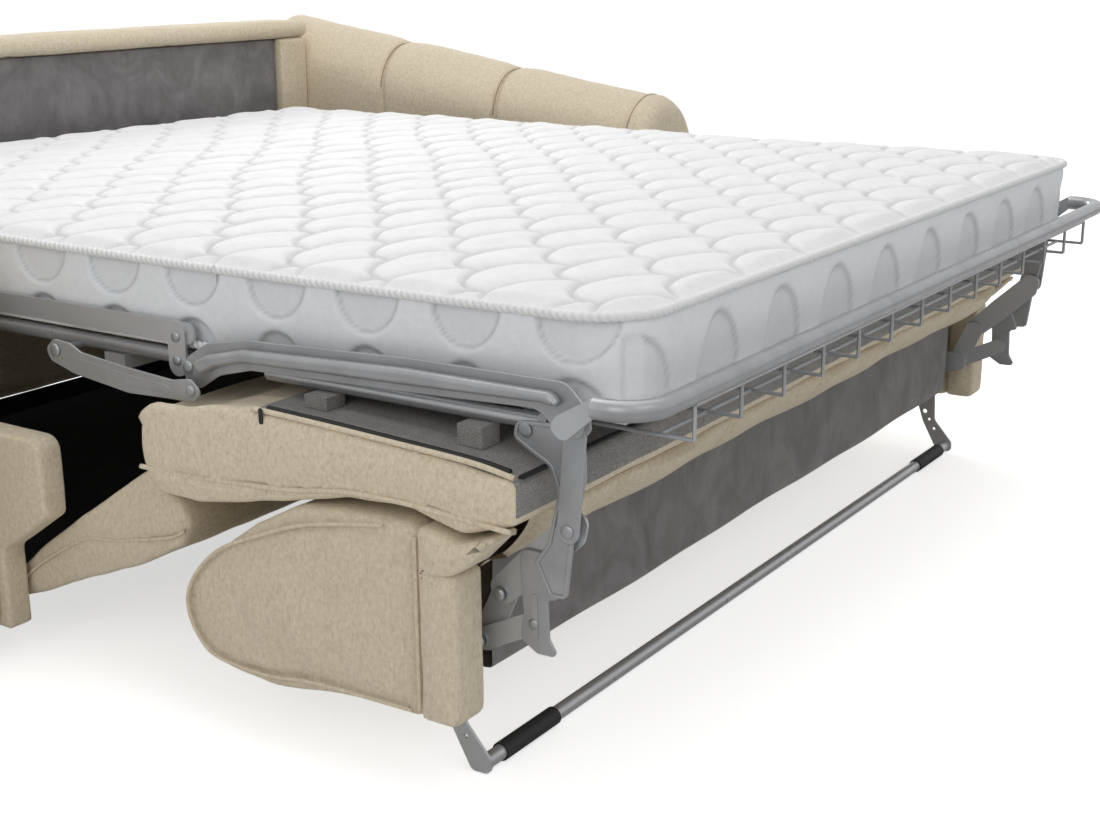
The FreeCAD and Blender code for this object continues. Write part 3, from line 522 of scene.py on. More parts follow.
def mattressRim(drawIn=0.0, step=0.004):
    # the plan outline as two lines between the foot fold's ends: round the head, and round the foot
    half = mattress["half"] - drawIn
    radius = mattress["corner"] - drawIn
    foot, head = mattress["foot"] + drawIn, mattress["head"] - drawIn
    split = mattress["split"]
    line = [(half, split)]
    for cx, cy, start in ((half - radius, head - radius, 0), (-half + radius, head - radius, 90),
                          (-half + radius, foot + radius, 180), (half - radius, foot + radius, 270)):
        if start == 180:
            line.append((-half, split))
        for part in range(0, 91, 6):
            angle = math.radians(start + part)
            line.append((cx + radius * math.cos(angle), cy + radius * math.sin(angle)))
    line.append((half, split))
    fold = line.index((-half, split))
    return [evenly([(x, y, 0) for x, y in part], step) for part in (line[:fold + 1], line[fold:])]


def edgeDistance(x, y):
    half, radius = mattress["half"], mattress["corner"]
    middleY = (mattress["foot"] + mattress["head"]) / 2
    reachY = (mattress["head"] - mattress["foot"]) / 2
    dx = np.abs(x) - (half - radius)
    dy = np.abs(y - middleY) - (reachY - radius)
    outside = np.hypot(np.maximum(dx, 0), np.maximum(dy, 0))
    return radius - (outside + np.minimum(np.maximum(dx, dy), 0))


def scaleDistance(x, y):
    # how far a point is from the nearest stitched line of the overlapping scales
    width, rise, pitch = mattress["scaleHalf"], mattress["scaleRise"], mattress["scalePitch"]
    nearest = np.full(x.shape, 1.0)
    base = np.floor(y / pitch).astype(int)
    for offset in (-1, 0, 1):
        row = base + offset
        above = y - row * pitch
        shifted = x - np.where(row % 2, width, 0)
        across = shifted - 2 * width * np.round(shifted / (2 * width))
        reach = np.sqrt((across / width) ** 2 + (above / rise) ** 2) + 1e-9
        slope = np.sqrt((across / width ** 2) ** 2 + (above / rise ** 2) ** 2) / reach + 1e-9
        arc = np.abs(reach - 1) / slope
        cusp = np.hypot(width - np.abs(across), above)
        nearest = np.minimum(nearest, np.where(above >= 0, arc, cusp))
    return nearest


def sag(x, y):
    # the mattress lies a little lower along the front part of its long sides
    along = np.clip((y - mattress["foot"]) / 1.2, 0, 1)
    return -0.004 * np.exp(-((mattress["half"] - np.abs(x)) / 0.12) ** 2) * np.sin(along * math.pi)


def drifted(x, y):
    # the stitched lines wander a little, as on a real cover
    driftX = 0.006 * np.sin(y * 7.3 + 1.1) + 0.004 * np.sin(x * 9.1 + y * 3.7)
    driftY = 0.005 * np.sin(x * 8.7 + 0.4) + 0.004 * np.sin(y * 11.3 - x * 5.1)
    return x + driftX, y + driftY


def quiltHeight(x, y):
    lines = scaleDistance(*drifted(x, y))
    puff = 0.62 * (1 - np.exp(-lines / 0.0042)) + 0.38 * (1 - np.exp(-lines / 0.02))
    edge = edgeDistance(x, y)
    calm = spread(0.004, 0.03, edge)
    crown = 0.006 * (1 - np.exp(-edge / 0.03))
    plump = 1 + 0.14 * np.sin(x * 23 + y * 17) * np.sin(y * 29 - x * 13)
    return (mattress["high"] - 0.007 + crown + mattress["pillow"] * puff * calm * plump
            + 0.0006 * np.sin(x * 61 + 3 * np.sin(y * 43)) * puff * calm + sag(x, y))


def squareToPlan(u, v):
    # a square grid from -1 to 1 fitted to the rounded plan
    half = mattress["half"] - 0.002
    middleY = (mattress["foot"] + mattress["head"]) / 2
    reachY = (mattress["head"] - mattress["foot"]) / 2 - 0.002
    radius = mattress["corner"]
    x, y = u * half, v * reachY
    overX = (np.abs(x) - (half - radius)) / radius
    overY = (np.abs(y) - (reachY - radius)) / radius
    corner = (overX > 0) & (overY > 0)
    a, b = np.where(corner, overX, 0.5), np.where(corner, overY, 0.5)
    big, small = np.maximum(a, b), np.minimum(a, b)
    turn = math.pi / 4 * small / np.maximum(big, 1e-9)
    along = np.where(a >= b, big * np.cos(turn), big * np.sin(turn))
    up = np.where(a >= b, big * np.sin(turn), big * np.cos(turn))
    x = np.where(corner, np.sign(x) * (half - radius + radius * along), x)
    y = np.where(corner, np.sign(y) * (reachY - radius + radius * up), y)
    return x, y + middleY


def gridFaces(rows, columns, flip=False):
    index = np.arange(rows * columns).reshape(rows, columns)
    quads = np.stack([index[:-1, :-1], index[:-1, 1:], index[1:, 1:], index[1:, :-1]], -1).reshape(-1, 4)
    return quads[:, ::-1] if flip else quads


def mattressPanel(step, top):
    columns, rows = int(mattress["wide"] / step) + 1, int(mattress["long"] / step) + 1
    u, v = np.meshgrid(np.linspace(-1, 1, columns), np.linspace(-1, 1, rows))
    x, y = squareToPlan(u.ravel(), v.ravel())
    z = quiltHeight(x, y) if top else np.full(x.shape, mattress["low"] + 0.001)
    return np.stack([x, y, z], 1), gridFaces(rows, columns, flip=not top)


def halfRound(spot, rise, shape):
    # 1 in the middle of its straight side, 0 on its stitched line and less beyond it
    return 1 - np.sqrt((spot / shape["half"]) ** 2 + (rise / shape["tall"]) ** 2)


def stitchedBorder(x, y, height, face):
    # how far the half rounds draw the border in, and how near their stitched lines are
    shape = borders[face]
    along = (x if face == "foot" else y) - shape["start"]
    spot = along - shape["pitch"] * np.round(along / shape["pitch"])
    dome = halfRound(spot, height, shape)
    drawn = spread(-0.03, 0.10, dome)
    nearest = np.abs(dome) * shape["half"]
    if face == "side":
        hang = halfRound(spot, borders["hang"]["from"] - height, borders["hang"])
        drawn = np.maximum(drawn, spread(-0.03, 0.10, hang))
        nearest = np.minimum(nearest, np.abs(hang) * 0.05)
    return drawn, np.exp(-(nearest / 0.0022) ** 2)


def mattressBorder(path):
    rings = 30
    heights = np.linspace(0.004, 0.116, rings)
    path = np.array(path)
    count = len(path)
    tangent = np.gradient(path, axis=0)
    tangent /= np.linalg.norm(tangent, axis=1)[:, None]
    outward = np.stack([tangent[:, 1], -tangent[:, 0]], 1)
    points = np.zeros((rings, count, 3))
    middleY = (mattress["foot"] + mattress["head"]) / 2
    for level, height in enumerate(heights):
        belly = 0.0065 * math.sin(math.pi * height / 0.12) ** 0.7 - 0.004
        end = np.abs(outward[:, 1]) > 0.7
        foot = end & (path[:, 1] < middleY)
        sideDrawn, sideSeam = stitchedBorder(path[:, 0], path[:, 1], height, "side")
        footDrawn, footSeam = stitchedBorder(path[:, 0], path[:, 1], height, "foot")
        drawn = np.where(foot, footDrawn, np.where(end, 0, sideDrawn))
        seam = np.where(foot, footSeam, np.where(end, 0, sideSeam))
        ripple = 0.0009 * np.sin(path[:, 0] * 47 + path[:, 1] * 39 + height * 30)
        out = belly + ripple - 0.0062 * drawn - 0.0030 * seam
        points[level, :, :2] = path[:, :2] + outward * out[:, None]
        points[level, :, 2] = mattress["low"] + height + sag(path[:, 0], path[:, 1]) * height / 0.12
    return points.reshape(-1, 3), gridFaces(rings, count)


def foldWall(y, towardsHead):
    # the cloth wall where the mattress folds
    columns, rows = 60, 12
    u, v = np.meshgrid(np.linspace(-1, 1, columns), np.linspace(0, 1, rows))
    x = u.ravel() * (mattress["half"] - 0.004)
    z = mattress["low"] + 0.003 + v.ravel() * 0.108
    points = np.stack([x, np.full(x.shape, y), z], 1)
    return points, gridFaces(rows, columns, flip=towardsHead)


def joinParts(parts):
    points, faces, start = [], [], 0
    for piecePoints, pieceFaces in parts:
        points.append(np.asarray(piecePoints))
        faces += [[index + start for index in face] for face in np.asarray(pieceFaces, dtype=object).tolist()]
        start += len(piecePoints)
    return np.concatenate(points), faces


def stitchShadeValues(places, border):
    # painted shade: how dark the cover is painted at each point, for the shade in its stitched seams most and
    # in the drawn-in half rounds a little
    x, y, z = places.T
    calm = spread(0.004, 0.03, edgeDistance(x, y))
    # painted shade in the valleys along the top's stitched scale lines
    top = 0.38 * np.exp(-(scaleDistance(*drifted(x, y)) / 0.0045) ** 2) * calm * (z > 0.55)
    height = z - mattress["low"]
    side, sideSeam = stitchedBorder(x, y, height, "side")
    foot, footSeam = stitchedBorder(x, y, height, "foot")
    atFoot = y < mattress["foot"] + 0.012
    # painted shade in the border's stitched seams and in its drawn-in half rounds
    tone = np.where(atFoot, 0.08 * foot + 0.45 * footSeam, 0.08 * side + 0.45 * sideSeam)
    plain = (height < 0.012) | (height > 0.110) | (y > mattress["head"] - 0.012)
    return np.where(border, np.where(plain, 0, tone), top)


def cutAtFold(sheet, parts, keepFoot):
    # what lies beyond the foot fold is taken off
    bmesh.ops.bisect_plane(sheet, geom=parts, plane_co=(0, mattress["split"] + layoutShift, 0),
                           plane_no=(0, 1, 0), clear_outer=keepFoot, clear_inner=not keepFoot)


def mattressCover():
    restRim, footRim = mattressRim()
    topStep = 0.0042
    top, bottom = mattressPanel(topStep, True), mattressPanel(0.02, False)
    split = mattress["split"]
    covers = []
    halves = (("mattress_foot_cover", footRim, True), ("mattress_main_cover", restRim, False))
    for name, rim, keepFoot in halves:
        border = mattressBorder(rim)
        whole = addPiece(name, *joinParts([top]), "quilt")
        whole.data.materials.append(finishes["satin"])
        sheet = bmesh.new()
        sheet.from_mesh(whole.data)
        cutAtFold(sheet, sheet.verts[:] + sheet.edges[:] + sheet.faces[:], keepFoot)
        for points, faces, material in (
                (*bottom, 0), (*border, 1),
                (*foldWall(split + (-0.0004 if keepFoot else 0.0004), keepFoot), 1)):
            fresh = [sheet.verts.new((point[0], point[1] + layoutShift, point[2])) for point in points]
            made = []
            for face in faces:
                laid = sheet.faces.new([fresh[int(index)] for index in face])
                laid.material_index = material
                laid.smooth = True
                made.append(laid)
            if material == 0:
                edges = {edge for face in made for edge in face.edges}
                cutAtFold(sheet, fresh + list(edges) + made, keepFoot)
        places = np.array([vertex.co for vertex in sheet.verts]) - (0, layoutShift, 0)
        onBorder = [any(face.material_index for face in vertex.link_faces) for vertex in sheet.verts]
        sheet.to_mesh(whole.data)
        sheet.free()
        # painted shade along the stitched seams and in the drawn-in half rounds, kept on the points for the
        # cover's finishes
        stitchShade = whole.data.attributes.new("stitchShade", "FLOAT", "POINT")
        stitchShade.data.foreach_set("value", stitchShadeValues(places, np.array(onBorder)).astype(np.float32))
        covers.append(whole)
    return covers


def edgeRope(rim, z):
    # a two-strand rope sewn along the edge
    path = np.array(rim)
    path[:, 2] = z + sag(path[:, 0], path[:, 1]) * (z > 0.55)
    path = evenly(path, 0.0032)
    lengths = np.arange(len(path)) * 0.0032
    points, faces = sweep(path, twisted(mattress["rope"], 2, 12, 0.3), spin=lengths * 2 * math.pi / 0.019)
    return points, faces


def buildMattress():
    foot, rest = mattressCover()
    restRim, footRim = mattressRim(drawIn=0.001)
    low, high = mattress["low"] + 0.0058, mattress["high"] - 0.0062
    rims = (("mattress_foot_ropes", footRim), ("mattress_main_ropes", restRim))
    footRope, mainRope = [addPiece(name, *joinParts([edgeRope(rim, low), edgeRope(rim, high)]), "rope")
                          for name, rim in rims]
    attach(foot, "foot_section")
    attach(footRope, "foot_section")
    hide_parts("mattress_foot")
    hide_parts("mattress_middle", "mattress_bend", "mattress_head")
    for piece in (rest, mainRope):
        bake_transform(piece)


buildMattress()
print("mattress quilted")


# Upholstery: a skin drawn over an outline from one end of the sofa to the other

def softNoise(points, scale, seed):
    shift = Vector((seed * 7.3, seed * 3.1, seed * 5.7))
    return np.array([noise.noise(Vector(point) * scale + shift) for point in points])


def lineDistance(points, line):
    # how far each (y, z) point is from a line of such points
    nearest = np.full(len(points), 9.0)
    line = np.array(line, float)
    for start, end in zip(line[:-1], line[1:]):
        along = end - start
        share = np.clip(((points - start) @ along) / (along @ along), 0, 1)
        nearest = np.minimum(nearest, np.linalg.norm(points - start - share[:, None] * along, axis=1))
    return nearest


def insideLine(points, line):
    inside = np.zeros(len(points), bool)
    for first, second in zip(line, np.roll(line, -1, 0)):
        crosses = (first[1] > points[:, 1]) != (second[1] > points[:, 1])
        rise = second[1] - first[1] + 1e-15
        crossing = (second[0] - first[0]) * (points[:, 1] - first[1]) / rise + first[0]
        inside ^= crosses & (points[:, 0] < crossing)
    return inside


def endPanel(line, step):
    # triangles across a closed line of (y, z) points, with points of their own inside it
    low, high = line.min(0), line.max(0)
    ys, zs = np.meshgrid(np.arange(low[0] + step, high[0], step), np.arange(low[1] + step, high[1], step))
    ys = ys + np.where(np.arange(len(ys))[:, None] % 2, step / 2, 0)
    spots = np.stack([ys.ravel(), zs.ravel()], 1)
    closed = np.concatenate([line, line[:1]])
    reach = lineDistance(spots, closed)
    chosen = insideLine(spots, line) & (reach > 0.6 * step)
    spots = spots[chosen]
    corners = [Vector(point) for point in line] + [Vector(point) for point in spots]
    rim = [(index, (index + 1) % len(line)) for index in range(len(line))]
    places, edges, faces, origins = geometry.delaunay_2d_cdt(corners, rim, [], 1, 1e-7)[:4]
    first = [origin[0] if origin else int(np.argmin(np.linalg.norm(line - np.array(place), axis=1)))
             for origin, place in zip(origins, places)]
    triangles = [[first[index] for index in face] for face in faces]
    return spots, reach[chosen], [face for face in triangles if len(set(face)) == len(face)]


def softBody(outline, half, rounding, skin, end, step=0.007, across=0.014, centre=0.0):
    # a padded body along the sofa: its outline repeated with rounded ends, and a panel over each end
    line = np.array(evenly([(y, z, 0) for y, z in outline], step, True))[:, :2]
    count = len(line)
    turns = np.radians((90, 68, 46, 24))
    left = [(-(half - rounding + rounding * math.sin(turn)), rounding * (1 - math.cos(turn)))
            for turn in turns]
    spans = max(1, int(2 * (half - rounding) / across))
    middle = [(-(half - rounding) + 2 * (half - rounding) * part / spans, 0.0) for part in range(spans + 1)]
    stations = left + middle + [(-x, drawn) for x, drawn in reversed(left)]
    rows = [np.column_stack([np.full(count, x), inset(line.tolist(), drawn) if drawn else line])
            for x, drawn in stations]
    points = np.concatenate(rows)
    outward = (np.array(inset(line.tolist(), -0.001)) - line) / 0.001
    points[:, 1:] += np.tile(outward, (len(stations), 1)) * skin(points)[:, None]
    faces = []
    for row in range(len(stations) - 1):
        for spot in range(count):
            following = (spot + 1) % count
            faces.append((row * count + spot, row * count + following,
                          (row + 1) * count + following, (row + 1) * count + spot))
    parts = [points]
    total = len(points)
    for side, row in ((-1, 0), (1, len(stations) - 1)):
        rim = points[row * count:(row + 1) * count, 1:]
        spots, reach, triangles = endPanel(rim, step)
        inner = np.column_stack([side * (half + end(spots, reach, side)), spots])
        parts.append(inner)
        for triangle in triangles:
            faces.append(tuple(row * count + index if index < count else total + index - count
                               for index in triangle))
        total += len(inner)
    points = np.concatenate(parts)
    points[:, 0] += centre
    return points, faces


def closeSkin(name, parts, finishNames, choose=None, flatAngle=None):
    # one piece of several skins; choose says which finish a face takes, from its middle and its normal
    piece = addPiece(name, *joinParts(parts), finishNames[0], flatAngle)
    body = bmesh.new()
    body.from_mesh(piece.data)
    bmesh.ops.recalc_face_normals(body, faces=body.faces)
    if choose:
        for face in body.faces:
            middle = face.calc_center_median()
            middle.y -= layoutShift
            face.material_index = choose(middle, face.normal)
    body.to_mesh(piece.data)
    body.free()
    for other in finishNames[1:]:
        piece.data.materials.append(finishes[other])
    return piece


def piping(line, radius=0.0032, step=0.006, closed=False):
    section = [(radius * math.cos(math.radians(turn)), radius * math.sin(math.radians(turn)))
               for turn in range(0, 360, 40)]
    return sweep(np.array(smoothPath(line, step, closed)), section, closed)


def creased(points, creases):
    # how far a crease draws the skin in: (line, depth, width) each
    drawn = np.zeros(len(points))
    for line, depth, width in creases:
        drawn += depth * np.exp(-(lineDistance(points, line) / width) ** 2)
    return drawn


def upholster(name, parts, finishNames, body, slot, nodes, choose=None):
    piece = closeSkin(name, parts, finishNames, choose)
    settle(piece, body, slot, *nodes)
    return piece


# Seat cushion: upside down, with the grey underside on top and a zip along its edges

seat = {
    "outline": [(-112, 372, 10), (-114, 424, 12), (-40, 435, 60), (150, 444, 120), (275, 447, 80),
                (345, 440, 60), (392, 424, 40), (456, 422, 26), (482, 404, 24), (484, 370, 30),
                (479, 330, 26), (450, 309, 30), (388, 308, 60), (317, 318, 60), (198, 345, 80),
                (133, 360, 60), (42, 366, 60), (-38, 346, 30)],
    "half": 0.8765,
    "seam": [(-.108, .366), (.031, .3725), (.131, .370), (.223, .356), (.338, .347), (.415, .3425),
             (.483, .341)],
    "cord": [(-.108, .4275), (-.05, .4365), (.06, .4415), (.16, .4455), (.28, .449)],
    "zip": [(-.100, .4312), (-.05, .4372), (.06, .4424), (.16, .4466), (.262, .4496)],
    "footZip": [(-.862, -.1125), (-.4, -.1145), (.1, -.1145), (.862, -.1125)],
    "footZipHeight": .4262, "greyHalf": 0.871,
}


def seatSkin(points):
    x, y, z = points.T
    swell = 0.0022 * softNoise(points, 9, 1) + 0.0012 * softNoise(points, 28, 2)
    swell -= 0.0030 * np.exp(-((z - 0.341) / 0.004) ** 2) * (y > 0.36)
    nearTop = (z > 0.40) & (y < 0.44)
    swell = np.where(nearTop, np.minimum(swell, 0) - 0.0006, swell)
    raised = spread(0.856, 0.868, np.abs(x)) * spread(0.30, 0.40, y) * (z > 0.40)
    return swell + 0.010 * raised


def seatEnd(points, reach, side):
    low = points[:, 1] - np.interp(points[:, 0], *np.array(seat["seam"]).T)
    lip = np.where(low < 0, 0.004 * np.exp(low / 0.02), 0)
    flat = np.column_stack([points, np.full(len(points), 0.3 * side)])
    puff = 0.008 * (1 - np.exp(-reach / 0.028)) + 0.0025 * softNoise(flat, 16, 3)
    pulls = [([(.03 + .075 * k, .372 - .008 * k), (.045 + .075 * k, .395 - .006 * k)], 0.0016, 0.006)
             for k in range(6)]
    return puff + lip - creased(points, [(seat["seam"], 0.006, 0.0042), *pulls])


def seatFinish(middle, normal):
    top = normal.z > 0.35 and middle.z > 0.40 and middle.y < 0.285
    foot = middle.y < -0.06 and middle.z > 0.378
    return 1 if (top or foot) and abs(middle.x) < seat["greyHalf"] else 0


def zipTape(line, width):
    # a flat tape with its closed teeth standing on the middle
    section = [(-width / 2, -0.0010), (width / 2, -0.0010), (width / 2, 0.0016), (width / 4, 0.0036),
               (-width / 4, 0.0036), (-width / 2, 0.0016)]
    return sweep(np.array(smoothPath(line, 0.006)), section)


def buildSeat():
    outline = roundedOutline(seat["outline"])
    body = softBody(outline, seat["half"], 0.011, seatSkin, seatEnd)
    upholster("seat_cover", [body], ["beigeSeat", "melange"], "foot_section", "beige_weave",
              ["seat_cushion"], seatFinish)
    cords, zips = [], []
    for side in (-1, 1):
        x = side * (seat["half"] - 0.001)
        first, *others = seat["cord"]
        cord = [(x - side * 0.006, *first)] + [(x - side * 0.004, *spot) for spot in others]
        cords.append(piping(cord, 0.0034))
        cords.append(piping([(x + side * 0.0015, y, z) for y, z in seat["seam"]], 0.0034))
        zips.append(zipTape([(x - side * 0.012, y, z) for y, z in seat["zip"]], 0.0075))
    zips.append(zipTape([(x, y, seat["footZipHeight"]) for x, y in seat["footZip"]], 0.0065))
    cord = closeSkin("seat_piping", cords, ["beigeSeat"])
    settle(cord, "foot_section", "beige_weave")
    tape = closeSkin("seat_zips", zips, ["zip"], flatAngle=30)
    settle(tape, "foot_section", "black_plastic")
    tag = cutPlate(capsuleOutline((262, 450), (262, 436), 7), 0.8762, 0.8778, -1)
    pull = gather("seat_zip_pull", [tag], "zip")
    settle(pull, "foot_section", "black_plastic")


buildSeat()
print("seat cushion covered")

# Back cushion: a D-shaped end between two seams, gathered at the round nose

backCushion = {
    "outline": [(72, 106, 8), (72, 352, 14), (149, 345, 60), (213, 335, 60), (283, 301, 60), (330, 268, 60),
                (376, 232, 50), (409, 200, 40), (417, 165, 40), (398, 122, 40), (356, 91, 50), (266, 86, 60),
                (180, 98, 60)],
    "half": 0.883,
    "seam": [(.065, .345), (.185, .3215), (.26, .294), (.33, .2625), (.372, .228), (.396, .192),
             (.399, .1615), (.385, .131), (.352, .108), (.27, .103), (.18, .114), (.03, .118)],
    "side": [(.021, .338), (.021, .118)],
    "cornerBlock": [(-36, 108, 12), (-36, 300, 10), (19, 300, 4), (19, 108, 6)],
    "cornerLobe": [(-98, 361, 6), (-75, 338, 20), (-50, 312, 20), (-25, 296, 16), (19, 288, 4),
                   (19, 351, 6), (-10, 348, 20), (-38, 339, 20), (-70, 350, 20)],
}


def backStretch(points):
    # beyond the leg plates the cushion reaches forwards to its corner pads
    x, y, z = points.T
    beyond = spread(0.829, 0.838, np.abs(x))
    points[:, 1] -= 0.052 * beyond * np.clip((0.150 - y) / 0.078, 0, 1)
    return points


def backSkin(points):
    x, y, z = points.T
    swell = 0.0035 * softNoise(points, 6, 4) + 0.0018 * softNoise(points, 21, 5)
    return np.where(y < 0.09, 0, swell)


def backEnd(points, reach, side):
    moved = points.copy()
    moved[:, 0] -= 0.052 * np.clip((0.150 - points[:, 0]) / 0.078, 0, 1)
    flat = np.column_stack([moved, np.full(len(points), 0.7 * side)])
    puff = 0.013 * (1 - np.exp(-reach / 0.04)) + 0.0045 * softNoise(flat, 12, 6)
    puff = puff + 0.0014 * softNoise(flat, 45, 7)
    pleats = [([(.4 + .004 * k, .135 + .011 * k), (.386 + .005 * k, .139 + .010 * k)], 0.0022, 0.0028)
              for k in range(6)]
    pulls = [([(.024, .34 - .012 * k), (.10, .325 - .022 * k), (.165, .305 - .03 * k)], 0.0026, 0.0055)
             for k in range(5)]
    sags = [([(.2, .12), (.29, .15), (.35, .2)], 0.003, 0.022),
            ([(.06, .2), (.14, .16), (.23, .15)], 0.0025, 0.018)]
    return puff - creased(moved, [(backCushion["seam"], 0.0065, 0.0042), (backCushion["side"], 0.005, 0.0038),
                                  *pleats, *pulls, *sags])


def cornerEnd(points, reach, side):
    return 0.007 * (1 - np.exp(-reach / 0.016))


def plainSkin(points):
    return 0.0012 * softNoise(points, 18, 8)


def bandPoints():
    # the beige band over the grey panel: it hangs in a soft roll, caught at upright seams
    profile = [(.004, .272), (-.008, .283), (-.030, .289), (-.054, .303), (-.076, .322), (-.092, .342),
               (-.096, .356), (-.086, .3605), (-.060, .3475), (-.038, .3400), (.0, .3480), (.04, .3570),
               (.070, .352)]
    line = np.array(smoothPath([(0, y, z) for y, z in profile], 0.006, False))
    seams = (-.61, -.32, -.028, .256, .555, .748)
    xs = np.linspace(-0.784, 0.784, 220)
    points = []
    for x in xs:
        near = min(abs(x - seam) for seam in seams)
        caught = math.exp(-(near / 0.010) ** 2)
        swing = 0.004 * math.sin(x * 11 + 0.6) + 0.003 * math.sin(x * 27 + 1.9)
        end = 1 - math.exp(-(0.786 - abs(x)) / 0.012)
        for spot, (y, z) in enumerate(line[:, 1:]):
            share = math.sin(math.pi * spot / (len(line) - 1))
            out = (swing - 0.014 * caught) * share * end * (z < 0.352)
            along = y - out - 0.03 * share * (end - 1) * (y < -0.04)
            points.append((x, along, z - 0.2 * swing * share * end))
    return np.array(points), gridFaces(len(xs), len(line))


def panelPoints():
    # the grey panel, drawn tight over its frame and turned under along its lower edge
    profile = [(.006, .292), (.0005, .284), (.0, .21), (.0005, .139), (.006, .131), (.03, .130), (.070, .130)]
    line = np.array(smoothPath([(0, y, z) for y, z in profile], 0.007, False))
    xs = np.linspace(-0.765, 0.765, 210)
    points = []
    for x in xs:
        for y, z in line[:, 1:]:
            wave = 0.0018 * math.sin(x * 9 + z * 14) + 0.0012 * math.sin(x * 23 - z * 31)
            points.append((x, y + (wave if y < 0.004 else 0), z))
    return np.array(points), gridFaces(len(xs), len(line))


def buildBackCushion():
    outline = roundedOutline(backCushion["outline"])
    points, faces = softBody(outline, backCushion["half"], 0.013, backSkin, backEnd)
    upholster("back_cushion_cover", [(backStretch(points), faces)], ["beige"], "back_unit", "beige_weave",
              ["back_cushion"])
    blocks = []
    for side in (-1, 1):
        for shape in ("cornerBlock", "cornerLobe"):
            blocks.append(softBody(roundedOutline(backCushion[shape]), 0.0300, 0.010, plainSkin, cornerEnd,
                                   centre=side * 0.8590))
    upholster("back_corner_covers", blocks, ["beige"], "back_unit", "beige_weave", ["back_corner_pads"])
    upholster("back_band", [bandPoints()], ["beige"], "back_unit", "beige_weave", ["back_frame"])
    panel = closeSkin("back_grey_panel", [panelPoints()], ["suede"])
    settle(panel, "back_unit", "grey_suede", "back_frame")
    seams = []
    for side in (-1, 1):
        x = side * (backCushion["half"] + 0.0075)
        seams.append(piping([(x - side * 0.001, y, z) for y, z in backCushion["seam"]], 0.0024))
        seams.append(piping([(x - side * 0.004, y, z) for y, z in backCushion["side"]], 0.0024))
    cord = closeSkin("back_seams", seams, ["beige"])
    settle(cord, "back_unit", "beige_weave")


buildBackCushion()
print("back cushion covered")

# Apron: the padded flap between the seat and the floor

apron = {
    "outline": [(480, 342, 3), (474, 300, 10), (446, 292, 12), (430, 262, 16), (448, 226, 20),
                (530, 184, 60), (657, 133, 80), (755, 90, 40), (792, 76, 12), (804, 92, 10),
                (794, 124, 20), (741, 166, 60), (647, 231, 80), (560, 288, 60), (512, 320, 20)],
    "half": 0.849,
    "seam": [(.438, .252), (.469, .236), (.569, .212), (.623, .204), (.66, .190), (.74, .142), (.79, .102)],
}


def apronSkin(points):
    x, y, z = points.T
    swell = 0.0035 * softNoise(points, 7, 9) + 0.0015 * softNoise(points, 25, 10)
    return swell * spread(0.47, 0.55, y)


def apronEnd(points, reach, side):
    flat = np.column_stack([points, np.full(len(points), 1.1 * side)])
    puff = 0.007 * (1 - np.exp(-reach / 0.022)) + 0.002 * softNoise(flat, 18, 11)
    return puff - creased(points, [(apron["seam"], 0.004, 0.004)])


def buildApron():
    body = softBody(roundedOutline(apron["outline"]), apron["half"], 0.010, apronSkin, apronEnd)
    upholster("apron_cover", [body], ["beige"], "apron", "beige_weave", ["apron_pad"])
    cords = [piping([(side * (apron["half"] + 0.0025), y, z) for y, z in apron["seam"]], 0.0024)
             for side in (-1, 1)]
    settle(closeSkin("apron_seams", cords, ["beige"]), "apron", "beige_weave")


buildApron()
print("apron covered")

# Sofa body: padded arms, the back with its roll, posts and grey panel, and the cheeks

sofa = {
    "inner": 0.900, "outer": 1.140, "front": 0.775, "rear": 1.900, "bottom": 0.050,
    "rearTop": 0.822, "frontTop": 0.660, "welt": 0.834, "seams": (1.190, 1.530),
    "cap": 0.065, "round": 0.12,
    "lip": [(0.775, 0.030, 0.060), (0.7765, 0.020, 0.042), (0.781, 0.012, 0.026), (0.789, 0.006, 0.014),
            (0.800, 0.002, 0.006)],
}


def armTopAt(y):
    # level over the front cap, and rising evenly from there to the back
    start = sofa["front"] + sofa["cap"]
    rise = sofa["rearTop"] - sofa["frontTop"]
    return sofa["rearTop"] - rise * (sofa["rear"] - max(y, start)) / (sofa["rear"] - start)


def bow(x):
    # a sewn seam over the arm lies further back in the middle
    middle = (sofa["inner"] + sofa["outer"]) / 2
    return 0.012 * np.cos((x - middle) / sofa["round"] * 1.2)


def armRing(y, drawn, top):
    # the arm's section at one place: up the inner side, over the round top and down the outer side
    radius = sofa["round"]
    inner, outer = sofa["inner"], sofa["outer"] - drawn
    centre, reach = (inner + outer) / 2, (outer - inner) / 2
    shoulder = top - radius
    line = [(inner, y, sofa["bottom"] + drawn)]
    line += [(inner, y, z) for z in np.linspace(sofa["bottom"] + drawn, shoulder, 34)[1:-1]]
    for part in range(37):
        turn = math.pi * part / 36
        line.append((centre - reach * math.cos(turn), y, shoulder + radius * math.sin(turn)))
    line += [(outer, y, z) for z in np.linspace(shoulder, sofa["bottom"] + drawn, 34)[1:]]
    return line


